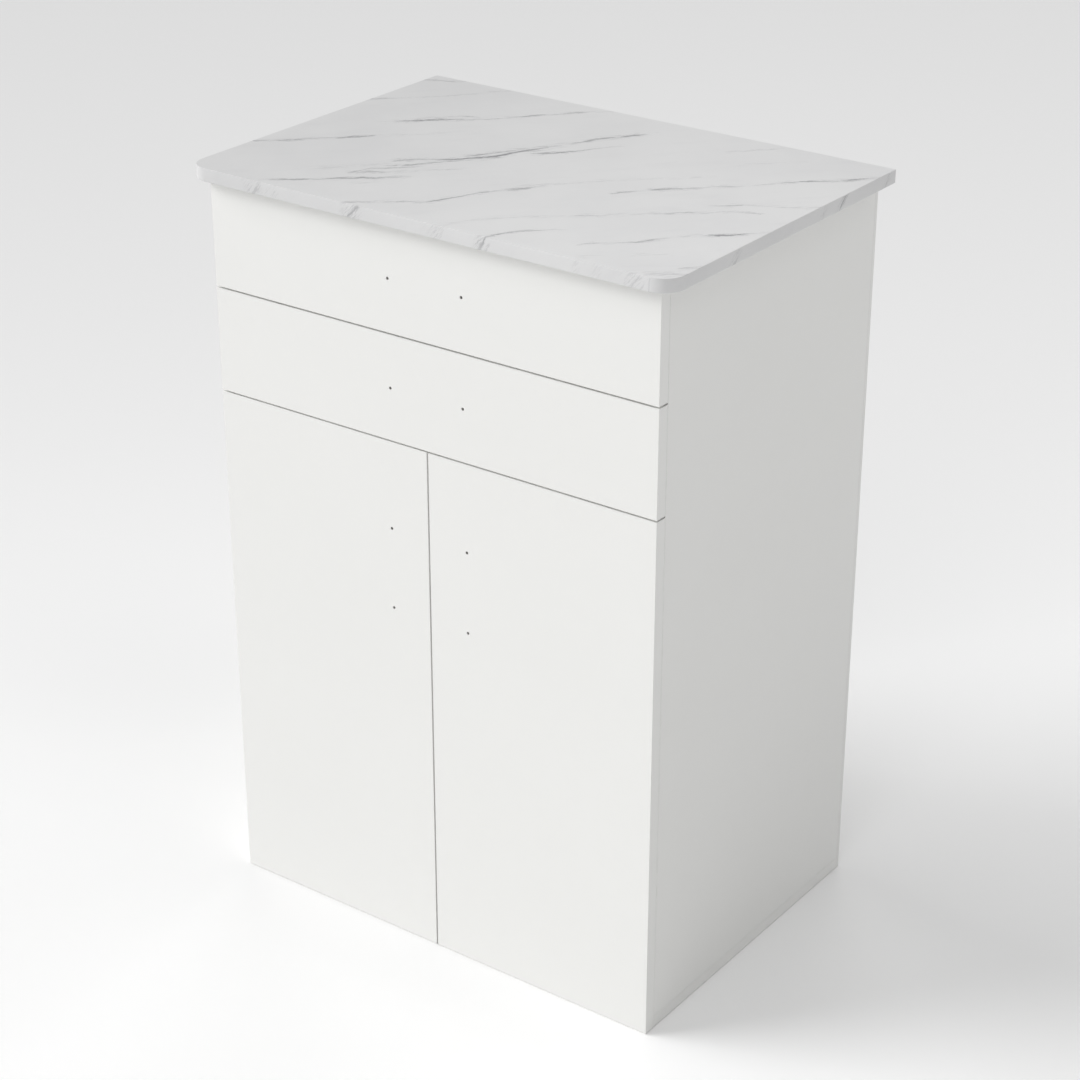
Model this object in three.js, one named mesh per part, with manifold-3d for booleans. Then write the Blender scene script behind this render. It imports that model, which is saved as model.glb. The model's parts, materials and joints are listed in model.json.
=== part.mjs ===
// Bathroom vanity cabinet: two full-width drawers above a pair of doors, in white laminated board, under a
// marble top with rounded front corners. The fronts have drilled holes for handles and carry none.
//
// Sizes are in millimetres. +X is to the right of someone who faces the fronts, +Y goes back to the wall and
// +Z goes up. The origin is on the floor, in the middle of the worktop's outline.
import * as THREE from "three";
import { mergeVertices } from "three/addons/utils/BufferGeometryUtils.js";
import Module from "manifold-3d";

const wasm = await Module();
wasm.setup();

// ---------------------------------------------------------------- driving dimensions

// Carcass of laminated board, with the back panel laid over its rear edges
const CABINET_WIDTH = 580;
const CABINET_DEPTH = 416; // from the faces of the fronts to the back of the back panel
const CABINET_HEIGHT = 866; // from the floor to the underside of the worktop
const BOARD = 15;
const BACK_BOARD = 5;
const RAIL_DEPTH = 90; // the two rails that hold the sides together under the worktop

// Worktop
const WORKTOP_THICKNESS = 15;
const SIDE_OVERHANG = 20;
const FRONT_OVERHANG = 15;
const WORKTOP_CORNER_RADIUS = 26; // front corners, seen from above

// Glides nailed into shallow recesses in the bottom panel's underside
const GLIDE_THICKNESS = 3;
const GLIDE_RADIUS = 10;
const GLIDE_PROUD = 0.5; // how far a glide stands below the panel
const GLIDE_PLAY = 0.3; // around a glide in its recess
const GLIDE_INSET = 30; // from the panel's edges to the glide's axis
const NAIL_RADIUS = 1.25;
const NAIL_LENGTH = 9;
const NAIL_PLAY = 0.25;

// Fronts: drawer fronts and doors, which cover the carcass's front edges
const FRONT_BOARD = 15;
const FRONT_CLEARANCE = 0.5; // between the fronts and the carcass's edges
const FRONT_GAP = 2; // between one front and the next
const TOP_REVEAL = 2; // from the worktop down to the upper drawer's front
const DRAWER_FRONT_HEIGHT = 120;
const DRAWER_COUNT = 2;

// Holes drilled for bow handles
const HANDLE_HOLE_RADIUS = 1.75;
const HANDLE_HOLE_SPACING = 96;
const DOOR_HANDLE_INSET = 50; // from the door's inner edge
const DOOR_HANDLE_DROP = 102; // from the door's top edge to the upper hole

// Drawer boxes
const DRAWER_SIDE = 12;
const DRAWER_BOX_DEPTH = 350;
const DRAWER_BOX_HEIGHT = 84;
const DRAWER_BOX_RISE = 16; // from the front's lower edge up to the box
const DRAWER_BOTTOM = 3;
const GROOVE_RISE = 10; // from the box's lower edge up to the groove for the bottom
const GROOVE_DEPTH = 6;
const GROOVE_SLACK = 0.5; // groove height over the bottom's thickness, and the bottom's play in it

// Ball-bearing slides
const SLIDE_LENGTH = 350;
const SLIDE_HEIGHT = 35;
const SLIDE_THICKNESS = 10;
const SLIDE_STEEL = 1.25;
const SLIDE_SETBACK = 2; // behind the carcass's front edge
const SLIDE_RISE = 42; // from the drawer box's lower edge up to the slide's middle
const SLIDE_OVERLAP = 85; // length that still overlaps when the drawer is fully out: the ball cage's length
const SLIDE_END_PLAY = 0.5; // between the drawer member and the rear stop when the drawer is shut
const SLIDE_STOP = 4.5; // thickness of the rear stop
const SLIDE_LIP = 1.75; // how far the cabinet member's lips return towards the middle
const BALL_RADIUS = 2.125;
const BALL_PLAY = 0.25;
const BALLS_PER_ROW = 4;
const CAGE_STEEL = 0.75;
const CAGE_PLAY = 0.5;
const SLIDE_HOLE_RADIUS = 2.25;
const SLIDE_HOLE_INSET = 35; // from a member's end to its first screw hole

// Adjustable shelf on pins
const SHELF_SETBACK = 20; // behind the carcass's front edge
const SHELF_BACK_PLAY = 5;
const SHELF_SIDE_PLAY = 0.5;
const PIN_PITCH = 32;
const PIN_ROWS = 5;
const PIN_ROW_IN_USE = 2; // counted from the lowest row, which is row 0
const PIN_INSET = 60; // from the carcass's front edge, and from the back panel
const PIN_RADIUS = 2.25;
const PIN_HOLE_RADIUS = 2.5;
const PIN_LENGTH = 8;
const PIN_HOLE_DEPTH = 9;
const PIN_WIDTH = 8;
const PIN_LEDGE = 11; // how far the ledge reaches out from the side panel
const PIN_LEDGE_RISE = 2.5; // from the hole's axis up to the ledge
const PIN_LEDGE_THICKNESS = 1.5;
const PIN_FOOT = 7; // from the hole's axis down to the pin's lower end

// Cup hinges. Their own frame: x runs from the door's outer edge towards the middle of the cabinet, y from
// the door's back towards the room, z up from the cup's centre.
const HINGE_INSET = 95; // from a door's end to its hinge
const CUP_RADIUS = 17.5;
const CUP_DEPTH = 12;
const CUP_WALL = 1;
const CUP_EDGE = 5; // of door left between its outer edge and the cup
const CUP_PLAY = 0.25;
const FLANGE_THICKNESS = 1;
const FLANGE_RIM = 2; // how far the flange reaches past the cup all round
const FLANGE_START = 16; // from the door's outer edge, which clears the side panel
const FLANGE_EAR_OFFSET = 9.5; // from the cup's centre to the line of the two screws
const FLANGE_EAR_SPACING = 45;
const FLANGE_EAR_RADIUS = 6;
const HINGE_PIN_RADIUS = 1;
const HINGE_PIN_PLAY = 0.25;
const LINK_EYE_RADIUS = 2.125;
const LINK_BAR_WIDTH = 2.5;
const LINK_WIDTH = 3.25; // along the pins
const LINK_GAP = 0.25; // on each side of a link, along the pins
const CHEEK_THICKNESS = 1.25;
const OUTER_LINK_ARM_PIVOT = [44, -5.75];
const OUTER_LINK_CUP_PIVOT = [13.125, 2.375];
const INNER_LINK_ARM_PIVOT = [34.625, 8.375];
const INNER_LINK_CUP_PIVOT = [14.375, 6.25];
const INNER_LINK_SLOT = 3; // the slot that the cup's second pin slides in
const INNER_LINK_PLAY = 0.9375; // of that pin, across the slot
const PLATE_THICKNESS = 2;
const PLATE_SETBACK = 37; // from the door's back to the mounting plate's screws
const PLATE_SCREW_SPACING = 32;
const PLATE_EAR_RADIUS = 6;
const PLATE_SCREW_RADIUS = 2;
const ARM_WIDTH = 11;
const ARM_LENGTH = 60; // from the door's back to the arm's rear end
const ARM_FRONT = 8; // from the door's back to where the arm ends and its nose begins
const ARM_RISE = 9;

// Facets
const ROUND_STEPS = 18; // around a small round
const CUP_STEPS = 30;
const SMALL_STEPS = 12; // around a screw hole or a pin
const ARC_STEPS = 3; // half the facets of one arc of an outline

// ---------------------------------------------------------------- derived planes

// A 64th of a millimetre is exact in 32 bits, so faces that touch have the same coordinates.
const grid = (value) => Math.round(value * 64) / 64;

const OVERCUT = 1; // how far a cutter reaches past the face that it opens

const BACK_Y = grid((CABINET_DEPTH + FRONT_OVERHANG) / 2);
const FRONT_FACE_Y = BACK_Y - CABINET_DEPTH;
const FRONT_BACK_Y = FRONT_FACE_Y + FRONT_BOARD;
const CARCASS_FRONT_Y = FRONT_BACK_Y + FRONT_CLEARANCE;
const CARCASS_BACK_Y = BACK_Y - BACK_BOARD;
const SIDE_X = CABINET_WIDTH / 2;
const INNER_X = SIDE_X - BOARD;
const BOTTOM_TOP_Z = GLIDE_PROUD + BOARD;
const FIRST_FRONT_TOP_Z = CABINET_HEIGHT - TOP_REVEAL;
const FRONT_PITCH = DRAWER_FRONT_HEIGHT + FRONT_GAP;
const DOOR_TOP_Z = FIRST_FRONT_TOP_Z - DRAWER_COUNT * FRONT_PITCH;
const DOOR_BOTTOM_Z = GLIDE_PROUD;
const DIVIDER_Z = DOOR_TOP_Z + FRONT_GAP / 2 - BOARD / 2;
const DRAWER_X = INNER_X - SLIDE_THICKNESS;
const SLIDE_FRONT_Y = CARCASS_FRONT_Y + SLIDE_SETBACK;
const DRAWER_MEMBER_LENGTH = SLIDE_LENGTH - SLIDE_STOP - SLIDE_END_PLAY;
const DRAWER_TRAVEL = DRAWER_MEMBER_LENGTH - SLIDE_OVERLAP;
const CUP_CENTRE = CUP_EDGE + CUP_RADIUS;

// ---------------------------------------------------------------- materials

const material = (name, color, roughness, metalness = 0) =>
  new THREE.MeshStandardMaterial({ name, color, roughness, metalness });

const WHITE_BOARD = material("white_board", 0xedece8, 0.45);
const MARBLE = material("marble", 0xd8d8d8, 0.3);
const HARDBOARD = material("hardboard", 0xe6e4de, 0.6);
const STEEL = material("steel", 0xb4b7ba, 0.35, 1);
const NICKEL = material("nickel", 0xc9cbcc, 0.25, 1);
const PLASTIC = material("plastic", 0xd9d8d2, 0.5);

// ---------------------------------------------------------------- solids

/** A closed three.js geometry as a manifold-3d solid. */
function toSolid(geometry) {
  const bare = geometry.index ? geometry.toNonIndexed() : geometry.clone();
  bare.deleteAttribute("normal");
  bare.deleteAttribute("uv");
  const merged = mergeVertices(bare, 1e-4);
  return new wasm.Manifold(
    new wasm.Mesh({
      numProp: 3,
      vertProperties: merged.attributes.position.array,
      triVerts: new Uint32Array(merged.index.array),
    }),
  );
}

/** A manifold-3d solid as a three.js geometry. */
function toGeometry(solid) {
  const { vertProperties, triVerts } = solid.getMesh();
  const geometry = new THREE.BufferGeometry()
    .setAttribute("position", new THREE.BufferAttribute(vertProperties, 3))
    .setIndex(new THREE.BufferAttribute(triVerts, 1));
  geometry.computeVertexNormals();
  return geometry;
}

/** The first geometry with all the others joined to it. */
const join = (first, ...others) =>
  toGeometry(others.reduce((sum, other) => sum.add(toSolid(other)), toSolid(first)));

/** The first geometry with all the others cut out of it. */
const cut = (first, ...others) =>
  toGeometry(others.reduce((rest, other) => rest.subtract(toSolid(other)), toSolid(first)));

/** The space that both geometries fill. */
const common = (first, second) => toGeometry(toSolid(first).intersect(toSolid(second)));

/** A box between two corners. */
function box([x0, x1], [y0, y1], [z0, z1]) {
  const [left, right, front, back, low, high] = [x0, x1, y0, y1, z0, z1].map(grid);
  return new THREE.BoxGeometry(right - left, back - front, high - low).translate(
    (left + right) / 2,
    (front + back) / 2,
    (low + high) / 2,
  );
}

/** A span of the given length about a middle. */
const about = (middle, length) => [middle - length / 2, middle + length / 2];

/** A closed outline through points. */
const outline = (points) => new THREE.Shape(points.map(([x, y]) => new THREE.Vector2(grid(x), grid(y))));

/** An outline of x and y, raised from z0 to z1. */
const prismUp = (shape, [z0, z1]) =>
  new THREE.ExtrudeGeometry(shape, {
    depth: grid(z1) - grid(z0),
    bevelEnabled: false,
    curveSegments: ARC_STEPS,
  }).translate(0, 0, grid(z0));

/** An outline of x and z, carried along y from y0 to y1. */
function prismBack(shape, [y0, y1]) {
  const geometry = prismUp(shape, [0, y1 - y0]);
  const place = geometry.attributes.position;
  for (let i = 0; i < place.count; i++) {
    place.setXYZ(i, place.getX(i), grid(y1) - place.getZ(i), place.getY(i));
  }
  return geometry;
}

/** A round bar along x, y or z between two ends, at the other two coordinates in their order. */
function bar(axis, radius, [start, end], [across, up], steps = ROUND_STEPS) {
  const length = grid(end) - grid(start);
  const round = new THREE.CylinderGeometry(radius, radius, length, steps);
  const middle = grid(start) + length / 2;
  if (axis === "x") return round.rotateZ(Math.PI / 2).translate(middle, across, up);
  if (axis === "y") return round.translate(across, middle, up);
  return round.rotateX(Math.PI / 2).translate(across, up, middle);
}

/** The outline of a straight link: a bar with a round eye at each end. */
function linkOutline([x0, y0], [x1, y1], eye0, eye1) {
  const turn = Math.atan2(y1 - y0, x1 - x0);
  const shape = new THREE.Shape();
  shape.absarc(x0, y0, eye0, turn + Math.PI / 2, turn + (3 * Math.PI) / 2);
  shape.absarc(x1, y1, eye1, turn - Math.PI / 2, turn + Math.PI / 2);
  return shape;
}

/** A named part in its finish. */
function part(name, geometry, finish) {
  const mesh = new THREE.Mesh(geometry, finish);
  mesh.name = name;
  return mesh;
}

/** A group of parts at a place; a mirrored one runs the other way along x. */
function groupAt([x, y, z], parts, mirrored = false) {
  const group = new THREE.Group();
  group.position.set(grid(x), grid(y), grid(z));
  group.scale.x = mirrored ? -1 : 1;
  group.add(...parts);
  return group;
}

const SIDES = ["left", "right"];

// ---------------------------------------------------------------- worktop

function worktop() {
  const x = SIDE_X + SIDE_OVERHANG;
  const front = FRONT_FACE_Y - FRONT_OVERHANG;
  const radius = WORKTOP_CORNER_RADIUS;
  const shape = new THREE.Shape();
  shape.moveTo(grid(x), grid(BACK_Y));
  shape.lineTo(grid(-x), grid(BACK_Y));
  shape.lineTo(grid(-x), grid(front + radius));
  shape.absarc(grid(-x + radius), grid(front + radius), radius, Math.PI, 1.5 * Math.PI);
  shape.absarc(grid(x - radius), grid(front + radius), radius, 1.5 * Math.PI, 2 * Math.PI);
  const slab = prismUp(shape, [CABINET_HEIGHT, CABINET_HEIGHT + WORKTOP_THICKNESS]);
  return part("worktop", slab, MARBLE);
}

// ---------------------------------------------------------------- carcass

const CARCASS_SPAN_Y = [CARCASS_FRONT_Y, CARCASS_BACK_Y];
const PIN_COLUMNS_Y = [CARCASS_FRONT_Y + PIN_INSET, CARCASS_BACK_Y - PIN_INSET];
const LOWEST_PIN_Z =
  (BOTTOM_TOP_Z + DIVIDER_Z) / 2 - ((PIN_ROWS - 1) / 2) * PIN_PITCH;
const SHELF_PIN_Z = grid(LOWEST_PIN_Z + PIN_ROW_IN_USE * PIN_PITCH);

/** A side panel, drawn as the right one: its inner face is at INNER_X, with the shelf-pin holes in it. */
function sidePanel(side) {
  const panel = box([INNER_X, SIDE_X], CARCASS_SPAN_Y, [BOTTOM_TOP_Z, CABINET_HEIGHT]);
  const depth = [INNER_X - OVERCUT, INNER_X + PIN_HOLE_DEPTH];
  const rows = Array.from({ length: PIN_ROWS }, (_, row) => LOWEST_PIN_Z + row * PIN_PITCH);
  const holes = PIN_COLUMNS_Y.flatMap((y) =>
    rows.map((z) => bar("x", PIN_HOLE_RADIUS, depth, [y, z], SMALL_STEPS)),
  );
  return part("side_panel_" + side, cut(panel, ...holes), WHITE_BOARD);
}

const GLIDE_X = SIDE_X - GLIDE_INSET;
const GLIDE_PLACES_Y = { front: CARCASS_FRONT_Y + GLIDE_INSET, rear: CARCASS_BACK_Y - GLIDE_INSET };

function bottomPanel() {
  const panel = box([-SIDE_X, SIDE_X], CARCASS_SPAN_Y, [GLIDE_PROUD, BOTTOM_TOP_Z]);
  const opening = GLIDE_PROUD - OVERCUT;
  const nailEnd = GLIDE_THICKNESS + NAIL_LENGTH;
  const glideSeats = [-GLIDE_X, GLIDE_X].flatMap((x) =>
    Object.values(GLIDE_PLACES_Y).flatMap((y) => [
      bar("z", GLIDE_RADIUS + GLIDE_PLAY, [opening, GLIDE_THICKNESS], [x, y]),
      bar("z", NAIL_RADIUS + NAIL_PLAY, [opening, nailEnd + NAIL_PLAY], [x, y], SMALL_STEPS),
    ]),
  );
  return part("bottom_panel", cut(panel, ...glideSeats), WHITE_BOARD);
}

/** A glide: a bevelled disc with a nail that goes up into the bottom panel. */
function glide(side, end) {
  const nailEnd = GLIDE_THICKNESS + NAIL_LENGTH;
  const profile = [
    [0, 0],
    [GLIDE_RADIUS - GLIDE_PROUD, 0],
    [GLIDE_RADIUS, GLIDE_PROUD],
    [GLIDE_RADIUS, GLIDE_THICKNESS],
    [NAIL_RADIUS, GLIDE_THICKNESS],
    [NAIL_RADIUS, nailEnd - NAIL_RADIUS],
    [0, nailEnd],
  ].map(([radius, height]) => new THREE.Vector2(radius, height));
  const turned = new THREE.LatheGeometry(profile, ROUND_STEPS).rotateX(Math.PI / 2);
  return part(`glide_${end}_${side}`, turned, PLASTIC);
}

function carcass() {
  const inside = [-INNER_X, INNER_X];
  const topSpan = [CABINET_HEIGHT - BOARD, CABINET_HEIGHT];
  const frontRail = box(inside, [CARCASS_FRONT_Y, CARCASS_FRONT_Y + RAIL_DEPTH], topSpan);
  const rearRail = box(inside, [CARCASS_BACK_Y - RAIL_DEPTH, CARCASS_BACK_Y], topSpan);
  const divider = box(inside, CARCASS_SPAN_Y, [DIVIDER_Z, DIVIDER_Z + BOARD]);
  const back = box([-SIDE_X, SIDE_X], [CARCASS_BACK_Y, BACK_Y], [GLIDE_PROUD, CABINET_HEIGHT]);
  const sides = SIDES.flatMap((side) => {
    const mirrored = side === "left";
    const x = mirrored ? -GLIDE_X : GLIDE_X;
    const glides = Object.entries(GLIDE_PLACES_Y).map(([end, y]) =>
      groupAt([x, y, 0], [glide(side, end)]),
    );
    return [groupAt([0, 0, 0], [sidePanel(side)], mirrored), ...glides];
  });
  return [
    bottomPanel(),
    ...sides,
    part("front_rail", frontRail, WHITE_BOARD),
    part("rear_rail", rearRail, WHITE_BOARD),
    part("divider_shelf", divider, WHITE_BOARD),
    part("back_panel", back, HARDBOARD),
  ];
}

// ---------------------------------------------------------------- adjustable shelf

/** A shelf pin in its own frame: x out of the side panel's inner face, z up from the hole's axis. */
function shelfPin(name) {
  const top = PIN_LEDGE_RISE;
  const under = top - PIN_LEDGE_THICKNESS;
  const bracket = outline([
    [0, -PIN_FOOT],
    [PIN_LEDGE_THICKNESS, -PIN_FOOT],
    [PIN_LEDGE, under],
    [PIN_LEDGE, top],
    [0, top],
  ]);
  const body = prismBack(bracket, about(0, PIN_WIDTH));
  const shank = bar("x", PIN_RADIUS, [-PIN_LENGTH, PIN_LEDGE_THICKNESS / 2], [0, 0], SMALL_STEPS);
  return part(name, join(body, shank), PLASTIC);
}

function adjustableShelf() {
  const top = SHELF_PIN_Z + PIN_LEDGE_RISE;
  const x = INNER_X - SHELF_SIDE_PLAY;
  const span = [CARCASS_FRONT_Y + SHELF_SETBACK, CARCASS_BACK_Y - SHELF_BACK_PLAY];
  const shelf = part("adjustable_shelf", box([-x, x], span, [top, top + BOARD]), WHITE_BOARD);
  const pins = SIDES.flatMap((side) =>
    PIN_COLUMNS_Y.map((y, i) => {
      const pin = shelfPin(`shelf_pin_${i ? "rear" : "front"}_${side}`);
      const x = side === "right" ? INNER_X : -INNER_X;
      return groupAt([x, y, SHELF_PIN_Z], [pin], side === "right");
    }),
  );
  return [shelf, ...pins];
}

// ---------------------------------------------------------------- drawer slides

// The slide's frame: x out of the side panel's inner face towards the drawer, y back from its front end, z up
// from its middle.
const HALF_SLIDE = SLIDE_HEIGHT / 2;
const RACE = HALF_SLIDE - SLIDE_STEEL; // where the balls run in the cabinet member
const DRAWER_RACE = RACE - 2 * (BALL_RADIUS + BALL_PLAY); // where they run on the drawer member
const BALL_ROW = (RACE + DRAWER_RACE) / 2;
const CAGE_BACK = SLIDE_STEEL + CAGE_PLAY;
const MEMBER_BACK = CAGE_BACK + CAGE_STEEL + CAGE_PLAY; // where the drawer member's flanges end
const BALL_X = CAGE_BACK + CAGE_STEEL + BALL_PLAY + BALL_RADIUS;

/** The holes for a member's screws: one near each end. */
const slideHoles = (length) =>
  [SLIDE_HOLE_INSET, length - SLIDE_HOLE_INSET].map((y) =>
    bar("x", SLIDE_HOLE_RADIUS, [-OVERCUT, SLIDE_THICKNESS + OVERCUT], [y, 0], SMALL_STEPS),
  );

function cabinetMember(name) {
  const reach = SLIDE_THICKNESS - SLIDE_STEEL - BALL_PLAY;
  const half = [
    [SLIDE_STEEL, RACE],
    [reach - SLIDE_STEEL, RACE],
    [reach - SLIDE_STEEL, RACE - SLIDE_LIP],
    [reach, RACE - SLIDE_LIP],
    [reach, HALF_SLIDE],
    [0, HALF_SLIDE],
  ];
  const lower = [...half].reverse().map(([x, z]) => [x, -z]);
  const section = outline([...half, ...lower]);
  const stop = box(
    [SLIDE_STEEL / 2, reach - SLIDE_STEEL],
    [SLIDE_LENGTH - SLIDE_STOP, SLIDE_LENGTH],
    about(0, 2 * DRAWER_RACE),
  );
  const steel = cut(prismBack(section, [0, SLIDE_LENGTH]), ...slideHoles(SLIDE_LENGTH - SLIDE_STOP));
  return part(name, join(steel, stop), STEEL);
}

function drawerMember(name) {
  const web = SLIDE_THICKNESS - SLIDE_STEEL;
  const half = [
    [SLIDE_THICKNESS, DRAWER_RACE],
    [MEMBER_BACK, DRAWER_RACE],
    [MEMBER_BACK, DRAWER_RACE - SLIDE_STEEL],
    [web, DRAWER_RACE - SLIDE_STEEL],
  ];
  const lower = [...half].reverse().map(([x, z]) => [x, -z]);
  const section = outline([...half, ...lower]);
  const steel = prismBack(section, [0, DRAWER_MEMBER_LENGTH]);
  return part(name, cut(steel, ...slideHoles(DRAWER_MEMBER_LENGTH)), STEEL);
}

/** The ball cage, with its balls seated in it, at its place when the drawer is shut. */
function ballCage(name) {
  const outer = BALL_ROW + CAGE_STEEL / 2;
  const half = [
    [CAGE_BACK + CAGE_STEEL, outer - CAGE_STEEL],
    [BALL_X + BALL_RADIUS / 2, outer - CAGE_STEEL],
    [BALL_X + BALL_RADIUS / 2, outer],
    [CAGE_BACK, outer],
  ];
  const lower = [...half].reverse().map(([x, z]) => [x, -z]);
  const start = DRAWER_TRAVEL / 2;
  const cage = prismBack(outline([...half, ...lower]), [start, start + SLIDE_OVERLAP]);
  const pitch = SLIDE_OVERLAP / BALLS_PER_ROW;
  const balls = Array.from({ length: BALLS_PER_ROW }, (_, i) => start + (i + 0.5) * pitch).flatMap((y) =>
    [-BALL_ROW, BALL_ROW].map((z) => new THREE.SphereGeometry(BALL_RADIUS, 6, 4).translate(BALL_X, y, z)),
  );
  return part(name, join(cage, ...balls), STEEL);
}

function slide(level, side, boxZ) {
  const members = [
    cabinetMember(`${level}_slide_${side}_cabinet_member`),
    ballCage(`${level}_slide_${side}_ball_cage`),
    drawerMember(`${level}_slide_${side}_drawer_member`),
  ];
  const x = side === "right" ? INNER_X : -INNER_X;
  return groupAt([x, SLIDE_FRONT_Y, boxZ + SLIDE_RISE], members, side === "right");
}

// ---------------------------------------------------------------- drawers

/** The cutter for one of a front's handle holes. */
const handleHole = (x, z) =>
  bar("y", HANDLE_HOLE_RADIUS, [FRONT_FACE_Y - OVERCUT, FRONT_BACK_Y + OVERCUT], [x, z]);

/** A drawer front in its own frame, whose z starts at the front's lower edge. */
function drawerFront(level) {
  const panel = box([-SIDE_X, SIDE_X], [FRONT_FACE_Y, FRONT_BACK_Y], [0, DRAWER_FRONT_HEIGHT]);
  const holes = about(0, HANDLE_HOLE_SPACING).map((x) => handleHole(x, DRAWER_FRONT_HEIGHT / 2));
  const grooveZ = DRAWER_BOX_RISE + GROOVE_RISE;
  const groove = box(
    about(0, 2 * (DRAWER_X - DRAWER_SIDE + GROOVE_DEPTH)),
    [FRONT_BACK_Y - GROOVE_DEPTH, FRONT_BACK_Y + OVERCUT],
    [grooveZ, grooveZ + DRAWER_BOTTOM + GROOVE_SLACK],
  );
  return part(`${level}_drawer_front`, cut(panel, groove, ...holes), WHITE_BOARD);
}

/** A drawer side, drawn as the right one, in the drawer box's frame, whose z starts at its lower edge. */
function drawerSide(level, side) {
  const span = [FRONT_BACK_Y, FRONT_BACK_Y + DRAWER_BOX_DEPTH];
  const inner = DRAWER_X - DRAWER_SIDE;
  const panel = box([inner, DRAWER_X], span, [0, DRAWER_BOX_HEIGHT]);
  const groove = box(
    [inner - OVERCUT, inner + GROOVE_DEPTH],
    [span[0] - OVERCUT, span[1] + OVERCUT],
    [GROOVE_RISE, GROOVE_RISE + DRAWER_BOTTOM + GROOVE_SLACK],
  );
  return part(`${level}_drawer_side_${side}`, cut(panel, groove), WHITE_BOARD);
}

function drawer(level, frontZ) {
  const rear = FRONT_BACK_Y + DRAWER_BOX_DEPTH;
  const inner = DRAWER_X - DRAWER_SIDE;
  const bottomX = inner + GROOVE_DEPTH - GROOVE_SLACK;
  const bottom = box(
    [-bottomX, bottomX],
    [FRONT_BACK_Y - GROOVE_DEPTH + GROOVE_SLACK, rear],
    [GROOVE_RISE, GROOVE_RISE + DRAWER_BOTTOM],
  );
  const back = box(
    [-inner, inner],
    [rear - DRAWER_SIDE, rear],
    [GROOVE_RISE + DRAWER_BOTTOM, DRAWER_BOX_HEIGHT],
  );
  const boxZ = frontZ + DRAWER_BOX_RISE;
  return [
    groupAt([0, 0, frontZ], [drawerFront(level)]),
    groupAt([0, 0, boxZ], [drawerSide(level, "left")], true),
    groupAt([0, 0, boxZ], [
      drawerSide(level, "right"),
      part(`${level}_drawer_bottom`, bottom, HARDBOARD),
      part(`${level}_drawer_back`, back, WHITE_BOARD),
    ]),
    ...SIDES.map((side) => slide(level, side, boxZ)),
  ];
}

// ---------------------------------------------------------------- doors

const HINGE_PLACES_Z = { lower: DOOR_BOTTOM_Z + HINGE_INSET, upper: DOOR_TOP_Z - HINGE_INSET };

/** A door, drawn as the right one. */
function door(side) {
  const inner = FRONT_GAP / 2;
  const panel = box([inner, SIDE_X], [FRONT_FACE_Y, FRONT_BACK_Y], [DOOR_BOTTOM_Z, DOOR_TOP_Z]);
  const upperHole = DOOR_TOP_Z - DOOR_HANDLE_DROP;
  const handleHoles = [upperHole, upperHole - HANDLE_HOLE_SPACING].map((z) =>
    handleHole(inner + DOOR_HANDLE_INSET, z),
  );
  const cupBores = Object.values(HINGE_PLACES_Z).map((z) =>
    bar(
      "y",
      CUP_RADIUS + CUP_PLAY,
      [FRONT_BACK_Y - CUP_DEPTH - CUP_PLAY, FRONT_BACK_Y + OVERCUT],
      [SIDE_X - CUP_CENTRE, z],
      CUP_STEPS,
    ),
  );
  return part("door_" + side, cut(panel, ...handleHoles, ...cupBores), WHITE_BOARD);
}

// ---------------------------------------------------------------- hinges

const PIN_SPAN = 2 * LINK_GAP + LINK_WIDTH + CHEEK_THICKNESS;

/** The span along the pins of one link, above (+1) or below (-1) the hinge's middle. */
const linkSpan = (way) => [way * LINK_GAP, way * (LINK_GAP + LINK_WIDTH)].sort((a, b) => a - b);

/** The span of the cheek that holds a link's pin on that side. */
const cheekSpan = (way) => [way * (PIN_SPAN - CHEEK_THICKNESS), way * PIN_SPAN].sort((a, b) => a - b);

/** The span of a pin, from half way through its cheek to its end, just past its link. */
const pinSpan = (way) =>
  [(way * LINK_GAP) / 2, way * (PIN_SPAN - CHEEK_THICKNESS / 2)].sort((a, b) => a - b);

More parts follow.
